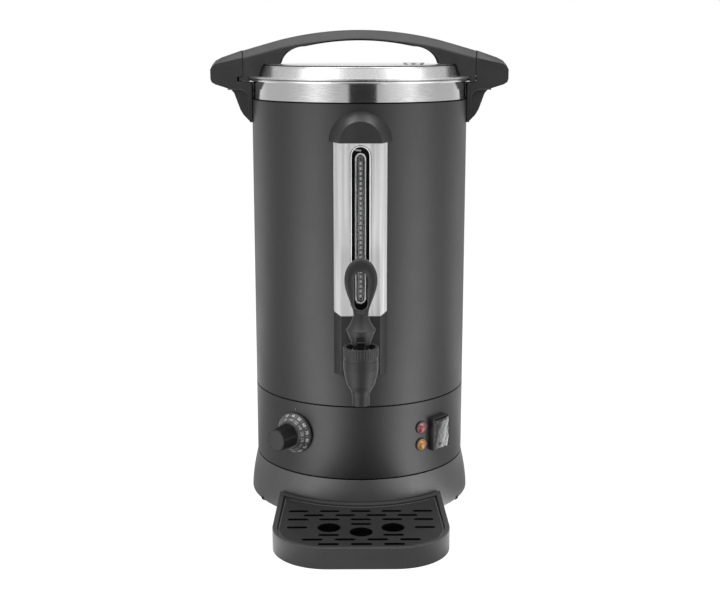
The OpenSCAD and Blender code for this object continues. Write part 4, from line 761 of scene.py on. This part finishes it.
def dial_figures(texts, size, radius, first=FIRST):
    """Figures around the skirt, laid on its slope, with their feet towards the knob."""
    slope_r, slope_z = (13.4, 14.8, 16.6, 18.8, 20.4), (12, 8.8, 6.4, 4.2, 2.6)
    shapes = []
    for i, text in enumerate(texts):
        points, faces = figures(text, size)
        r = radius + points[:, 1] * 0.71
        turn = math.radians(first + i * STEP) + points[:, 0] / radius
        local = np.column_stack([r * np.sin(turn), r * np.cos(turn), np.interp(r, slope_r, slope_z) + 0.12])
        shapes.append((off_casing(local, DIAL_AZIMUTH, DIAL_Z), faces))
    return shapes


def knob_skin(turns, radii, heights):
    """A skin over rings of points at the given turns round the dial's axis."""
    rings = [off_casing(np.column_stack([r * np.sin(turns), r * np.cos(turns), turns * 0 + z]),
                        DIAL_AZIMUTH, DIAL_Z) for r, z in zip(radii, heights)]
    return turned_over(skin(rings))


celsius = dial_figures([str(n) for n in range(30, 111, 10)], 3.9, 18.4)
celsius += dial_figures(["|"] * 8, 1.8, 18.5, FIRST + STEP / 2)
piece("dial_celsius", celsius, white_print, "knob")
mark = [(-0.25, 23, 0.05), (0.25, 23, 0.05), (0.25, 25, 0.05), (-0.25, 25, 0.05)]
piece("dial_index", [(off_casing(mark, DIAL_AZIMUTH, DIAL_Z), [(0, 1, 2, 3)])], grey_print, "urn")
fahrenheit = dial_figures([str(n) for n in range(86, 231, 18)], 3.4, 15.3)
piece("dial_fahrenheit", fahrenheit, grey_print, "knob")

# Eight flats with a narrow bevel at each corner, which taper to a bevelled face with a cap on it.
corner_turns = 34 + np.arange(8) * 45
grip_turns = np.radians(np.sort(np.concatenate([corner_turns - 3.2, corner_turns + 3.2])))
grip = knob_skin(grip_turns, (12.3, 12.2, 11.3, 11.0, 10.5, 9.9, 6, 3),
                 (12.05, 13.05, 28.85, 30.35, 30.9, 31.05, 31.05, 31.05))
piece("knob_grip", [grip], knob_black, "knob", ["control_knob"], 20)
cap = knob_skin(np.radians(np.arange(11.5, 371, 45)), (10.4, 10.4, 9.9), (30.6, 31.1, 31.2))
piece("knob_cap", [cap], tray_grey, "knob", (), 20)

# ---------- lamps and switch ----------
# Two half clear lamps in their holders, and a rocker switch. A dark soft frame with a clear,
# crumpled film keeps splashes off the rocker.

BOOT_W, BOOT_H, BOOT_OUT, BOOT_AZIMUTH, BOOT_Z = 25, 34, 6.6, 46, 80.4
wear(knob_black, "switch_rocker")
wear(hidden_black, "lamp_holders", "switch_body")


def lens(name, colour):
    """A coloured, half clear lens."""
    finish = Finish(name, colour, 0.12, Transmission_Weight=0.35, Coat_Weight=0.6)
    finish.bump(finish.noise(500, 1), 0.0001, 0.4)
    return finish


wear(lens("red_lens", (0.55, 0.13, 0.15)), "lamp_red")
wear(lens("amber_lens", (0.85, 0.42, 0.10)), "lamp_amber")


def frame_ring(inset, z, corner=2.2):
    """A rounded rectangle of 48 points, the boot's outline drawn in by an inset, at a height z."""
    half_w, half_h = BOOT_W / 2 - inset, BOOT_H / 2 - inset
    outline = rounded([(half_w, -half_h), (half_w, half_h), (-half_w, half_h), (-half_w, -half_h)],
                      [corner] * 4, 5)
    t = np.linspace(0, 1, 8)[1:-1, None]
    line = []
    for i in range(4):
        bend, after = outline[i * 6:(i + 1) * 6], outline[(i + 1) * 6 % 24]
        line += [bend, bend[-1] + (after - bend[-1]) * t]
    line = np.vstack(line)
    return np.column_stack([line, line[:, 0] * 0 + z])


def boot_frame():
    """Rings up the boot's wall from the round casing, over its rim and down inside to the film."""
    foot = frame_ring(0, 0)
    foot[:, 2] = np.sqrt(CASING_R ** 2 - foot[:, 0] ** 2) - CASING_R + 0.05
    wall = ((0, 1.2), (0, BOOT_OUT - 1.8), (0.2, BOOT_OUT - 0.9), (0.6, BOOT_OUT - 0.6),
            (1.4, BOOT_OUT - 1.6), (1.4, BOOT_OUT - 3.6))
    points, faces = skin([foot] + [frame_ring(inset, z) for inset, z in wall], ends=False)
    return off_casing(points, BOOT_AZIMUTH, BOOT_Z), faces


def boot_film(rows=61, columns=45):
    """The film on a grid of folds, the sum of four bent zigzag waves, and its painted light.

    The clear value paints reflection and shade into the film's colour: lightest at the right, where
    the film mirrors the right soft box, greyer at the left, with painted shade in the folds, darker
    along the top, and one dark spot.
    """
    across, up = np.meshgrid(np.linspace(-1, 1, columns), np.linspace(-1, 1, rows), indexing="xy")
    x, y = 0.55 + across * 11.75, up * 15.6 - 1.1
    bent_x, bent_y = x + 1.2 * np.sin(0.5 * y + 0.6), y + 1.5 * np.sin(0.4 * x)
    crease = np.zeros_like(x)
    for angle, wave, shift, depth in ((-20, 0.45, 0.4, 0.9), (14, 0.62, 1.1, 0.7), (-38, 0.95, 0.9, 0.4),
                                      (50, 1.3, 2.6, 0.25)):
        a = math.radians(angle)
        crease += depth * np.abs(np.sin(wave * (bent_x * math.cos(a) + bent_y * math.sin(a)) + shift))
    crease /= crease.max()
    edge = np.clip(5 * (1 - np.maximum(np.abs(across), np.abs(up))), 0, 1)
    z = np.minimum(BOOT_OUT - 1.5 + 1.2 * edge - edge * crease * 1.5, BOOT_OUT - 0.1)
    spot = np.exp(-((across + 0.18) / 0.2) ** 2 - ((up + 0.66) / 0.1) ** 2)
    side = np.clip(0.62 + 0.75 * across - 0.3 * up, 0.12, 1)
    band = np.clip((up - 0.78) / 0.1, 0, 1) * np.clip(1.2 - across, 0, 1)
    clear = side * (1.15 - 0.75 * crease) * (1 - 0.95 * spot) * (1 - 0.8 * band)
    points = off_casing(np.stack([x, y, z], -1).reshape(-1, 3), BOOT_AZIMUTH, BOOT_Z)
    return points, quads(rows, columns, False, False), clear.ravel()


frame_grey = moulded("frame_grey", (0.022, 0.022, 0.022), 0.4, 900, 0.00005, 0.0003)
piece("boot_frame", [boot_frame()], frame_grey, "urn", ["switch_boot"], 40)
clear_film = Finish("clear_film", (0.6, 0.6, 0.6), 0.2)
# Painted light: the clear attribute runs the film's colour from dark in the folds to nearly white where it
# mirrors the right soft box.
film_light_share = add(clear_film.tree, "Attribute")
film_light_share.attribute_name = "clear"
clear_film.ramp(film_light_share.outputs["Fac"], (0.012, 0.012, 0.012), (0.9, 0.9, 0.9), 0.1, 1.0)
clear_film.bump(clear_film.noise(260, 3), 0.0006, 0.8)
film_points, film_faces, film_light = boot_film()
film = piece("boot_film", [(film_points, film_faces)], clear_film, "urn", (), 25)
film.data.attributes.new("clear", "FLOAT", "POINT").data.foreach_set("value", film_light)
film_wall = film.modifiers.new("wall", "SOLIDIFY")
film_wall.thickness, film_wall.offset = 0.0003, -1

# ---------- tray and grate ----------
# A loose moulded tray that hooks under the base, with a grate lying in it. Rows of slots surround
# three holes. Black in the slots and on the floor below paints the shade there, and lighter beads
# on the grate's border and the tray's rim paint their edge highlights.

GRATE_TOP = 18.2


def tray_outline(inset, back_r):
    """The tray in plan, drawn in by an inset: two quarter circles, and an arc round the urn behind."""
    corner_r, back_x = 52 - inset, 80 - inset
    turn = np.radians(np.arange(0, 91, 5))
    right = np.column_stack([31 + corner_r * np.cos(turn), -174 - corner_r * np.sin(turn)])
    back_turn = math.asin(back_x / back_r) * np.linspace(-1, 1, 25)
    back = back_r * np.column_stack([np.sin(back_turn), -np.cos(back_turn)])
    return np.vstack([right, right[::-1] * (-1, 1), back])[::-1]


def slot_outline(x, y, half_l, half_w):
    """A slot with round ends along x, or a circle where both halves are equal."""
    turn = np.radians(np.arange(-90, 91, 22.5))
    right = np.column_stack([half_l - half_w + half_w * np.cos(turn), half_w * np.sin(turn)])
    return np.vstack([right, -right]) + (x, y)


def plate(outlines, z0, z1):
    """A flat plate between two heights, with the later outlines cut out of the first."""
    curve = bpy.data.curves.new("plate", "CURVE")
    curve.dimensions, curve.fill_mode, curve.extrude = "2D", "BOTH", (z1 - z0) / 2
    for outline in outlines:
        spline = curve.splines.new("POLY")
        spline.points.add(len(outline) - 1)
        flat = outline[:, :1] * 0
        spline.points.foreach_set("co", np.column_stack([outline, flat, flat + 1]).ravel())
        spline.use_cyclic_u = True
    points, faces = filled(curve)
    return points + (0, 0, (z0 + z1) / 2), faces


def flat_bead(outline, height, radius):
    """A round bead along an outline, with its middle at a height."""
    return bead(np.column_stack([outline, outline[:, 0] * 0 + height]), radius, (0, 0, 1))


def slot_lining(outline):
    """A dark wall of painted shade in an opening, a hair inside the plate's own wall."""
    middle = outline.mean(0)
    inner = middle + (outline - middle) * (1 - 0.06 / np.abs(outline - middle).max())
    rings = [np.column_stack([inner, inner[:, 0] * 0 + z]) for z in (GRATE_TOP - 2.35, GRATE_TOP - 0.1)]
    return turned_over(skin(rings, ends=False))


wear(tray_grey, "drip_tray")
grate_black = moulded("grate_black", (0.021, 0.021, 0.021), 0.5, 1500, 0.00006, 0.0004, 0.5)
wear(grate_black, "drip_grate")
# A lighter grey whose beads paint the highlights along the grate's border and the tray's rim.
edge_highlight_grey = moulded("edge_highlight_grey", (0.13, 0.13, 0.132), 0.5, 1100, 0.00006, 0.0003, 0.6)

# Slots lie PITCH apart, in rows that are ROW apart, forwards from BACK and backwards from FRONT.
PITCH, ROW, BACK, FRONT = 30, 10.5, -131.8, -211.6
slot_rows = [(BACK, (-2, -1, 0, 1, 2)), (BACK - ROW, (-1.5, -0.5, 0.5, 1.5)),
             (BACK - 2 * ROW, (-2, -1, 0, 1, 2)), (BACK - 3.1 * ROW, (0,)), (-172.4, (-2, 2)),
             (FRONT + 2 * ROW, (-1, 1)), (FRONT + ROW, (-1.5, -0.5, 0.5, 1.5)), (FRONT, (-1, 0, 1))]
openings = [slot_outline(x * PITCH, y, 9.8, 2.5) for y, xs in slot_rows for x in xs]
openings += [slot_outline(x * PITCH, y, 11, 11) for x, y in ((-1, -173), (0, -173 - ROW), (1, -173))]
piece("grate_plate", [plate([tray_outline(4.9, 121.1)] + openings, GRATE_TOP - 2.4, GRATE_TOP)], grate_black,
      "grate", ["drip_grate"], 40)
piece("grate_slot_shades", [slot_lining(opening) for opening in openings], rubber_and_painted_shade, "grate")
border = tray_outline(6.0, 122.3)
piece("grate_border", [flat_bead(np.vstack([border, border[:2]]), GRATE_TOP - 0.1, 0.45)], edge_highlight_grey,
      "grate")
# A black sheet on the tray's floor paints the shade inside the tray.
piece("tray_floor_shade", [plate([tray_outline(6.8, 123)], 2.02, 2.3)], rubber_and_painted_shade, "tray")
rim = tray_outline(0.55, 114.4)[25:]
piece("tray_bead", [flat_bead(rim, 19.6, 0.5)], edge_highlight_grey, "tray")

# ---------- base ring ----------
# A flared skirt moulded in dark grey polypropylene, with a fine spark-eroded grain and a small
# radius along its edges. Dark blocks in the four notches of its lower edge paint the shade
# inside them.

base_grey = moulded("base_grey", (0.018, 0.018, 0.019), 0.42, 1100, 0.00006, 0.0007, 1.0, IOR=1.75)
wear(base_grey, "base_ring")


def notch_plug(azimuth):
    """A dark block of painted shade that follows the edge of the ring at an azimuth."""
    a = math.radians(azimuth)
    out, along = np.array([math.sin(a), -math.cos(a), 0]), np.array([math.cos(a), math.sin(a), 0])
    plan = [out * r + along * w for r, w in ((111, -2.9), (111, 2.9), (113.9, 2.9), (113.9, -2.9))]
    return skin([plan + np.array([0, 0, z]) for z in (0.2, 4)])


notches = [notch_plug(azimuth) for azimuth in (-118, -62, 62, 118)]
piece("notch_shades", notches, rubber_and_painted_shade, "urn")

# ---------- parts inside and below ----------
# Zinc plated fasteners, rods and spring, a cast aluminium spreader under the tank, brass nuts and a
# copper bulb. Washers and grommets are silicone, and the electrical parts moulded.

zinc_plate = stainless("zinc_plate", (0.55, 0.56, 0.57), 0.35, (3, 3, 3), 0.00003)
wear(zinc_plate, "bottom_plate", "base_screws", "tie_rods", "tie_nuts", "lid_screws", "handle_screws",
     "tap_shank", "heating_element", "tap_spring", "thermostat_shaft")
cast_aluminium = stainless("cast_aluminium", (0.62, 0.62, 0.62), 0.5, (2, 2, 2), 0.00005)
wear(cast_aluminium, "heat_spreader", "heat_shield")
turned_brass = stainless("turned_brass", (0.65, 0.48, 0.20), 0.3, (2, 2, 20), 0.00002)
wear(turned_brass, "gauge_nuts", "shank_nut")
drawn_copper = stainless("drawn_copper", (0.60, 0.30, 0.17), 0.35, (4, 4, 4), 0.00002)
wear(drawn_copper, "thermostat_bulb")
red_silicone = moulded("red_silicone", (0.42, 0.06, 0.04), 0.55, 700, 0.00004, 0.0003)
wear(red_silicone, "gauge_grommets", "tank_washers")
brown_phenolic = moulded("brown_phenolic", (0.10, 0.055, 0.03), 0.45, 500, 0.0001, 0.0004)
wear(brown_phenolic, "boil_dry_disc", "thermostat")
cream_plastic = moulded("cream_plastic", (0.68, 0.64, 0.55), 0.45, 700, 0.00005, 0.0004)
wear(cream_plastic, "terminal_block", "valve_cup")
red_button = moulded("red_button", (0.5, 0.03, 0.03), 0.35, 900, 0.00003, 0.0003)
wear(red_button, "reset_button")
wear(hidden_black, "reset_cutout", "cable_gland", "gland_nut")
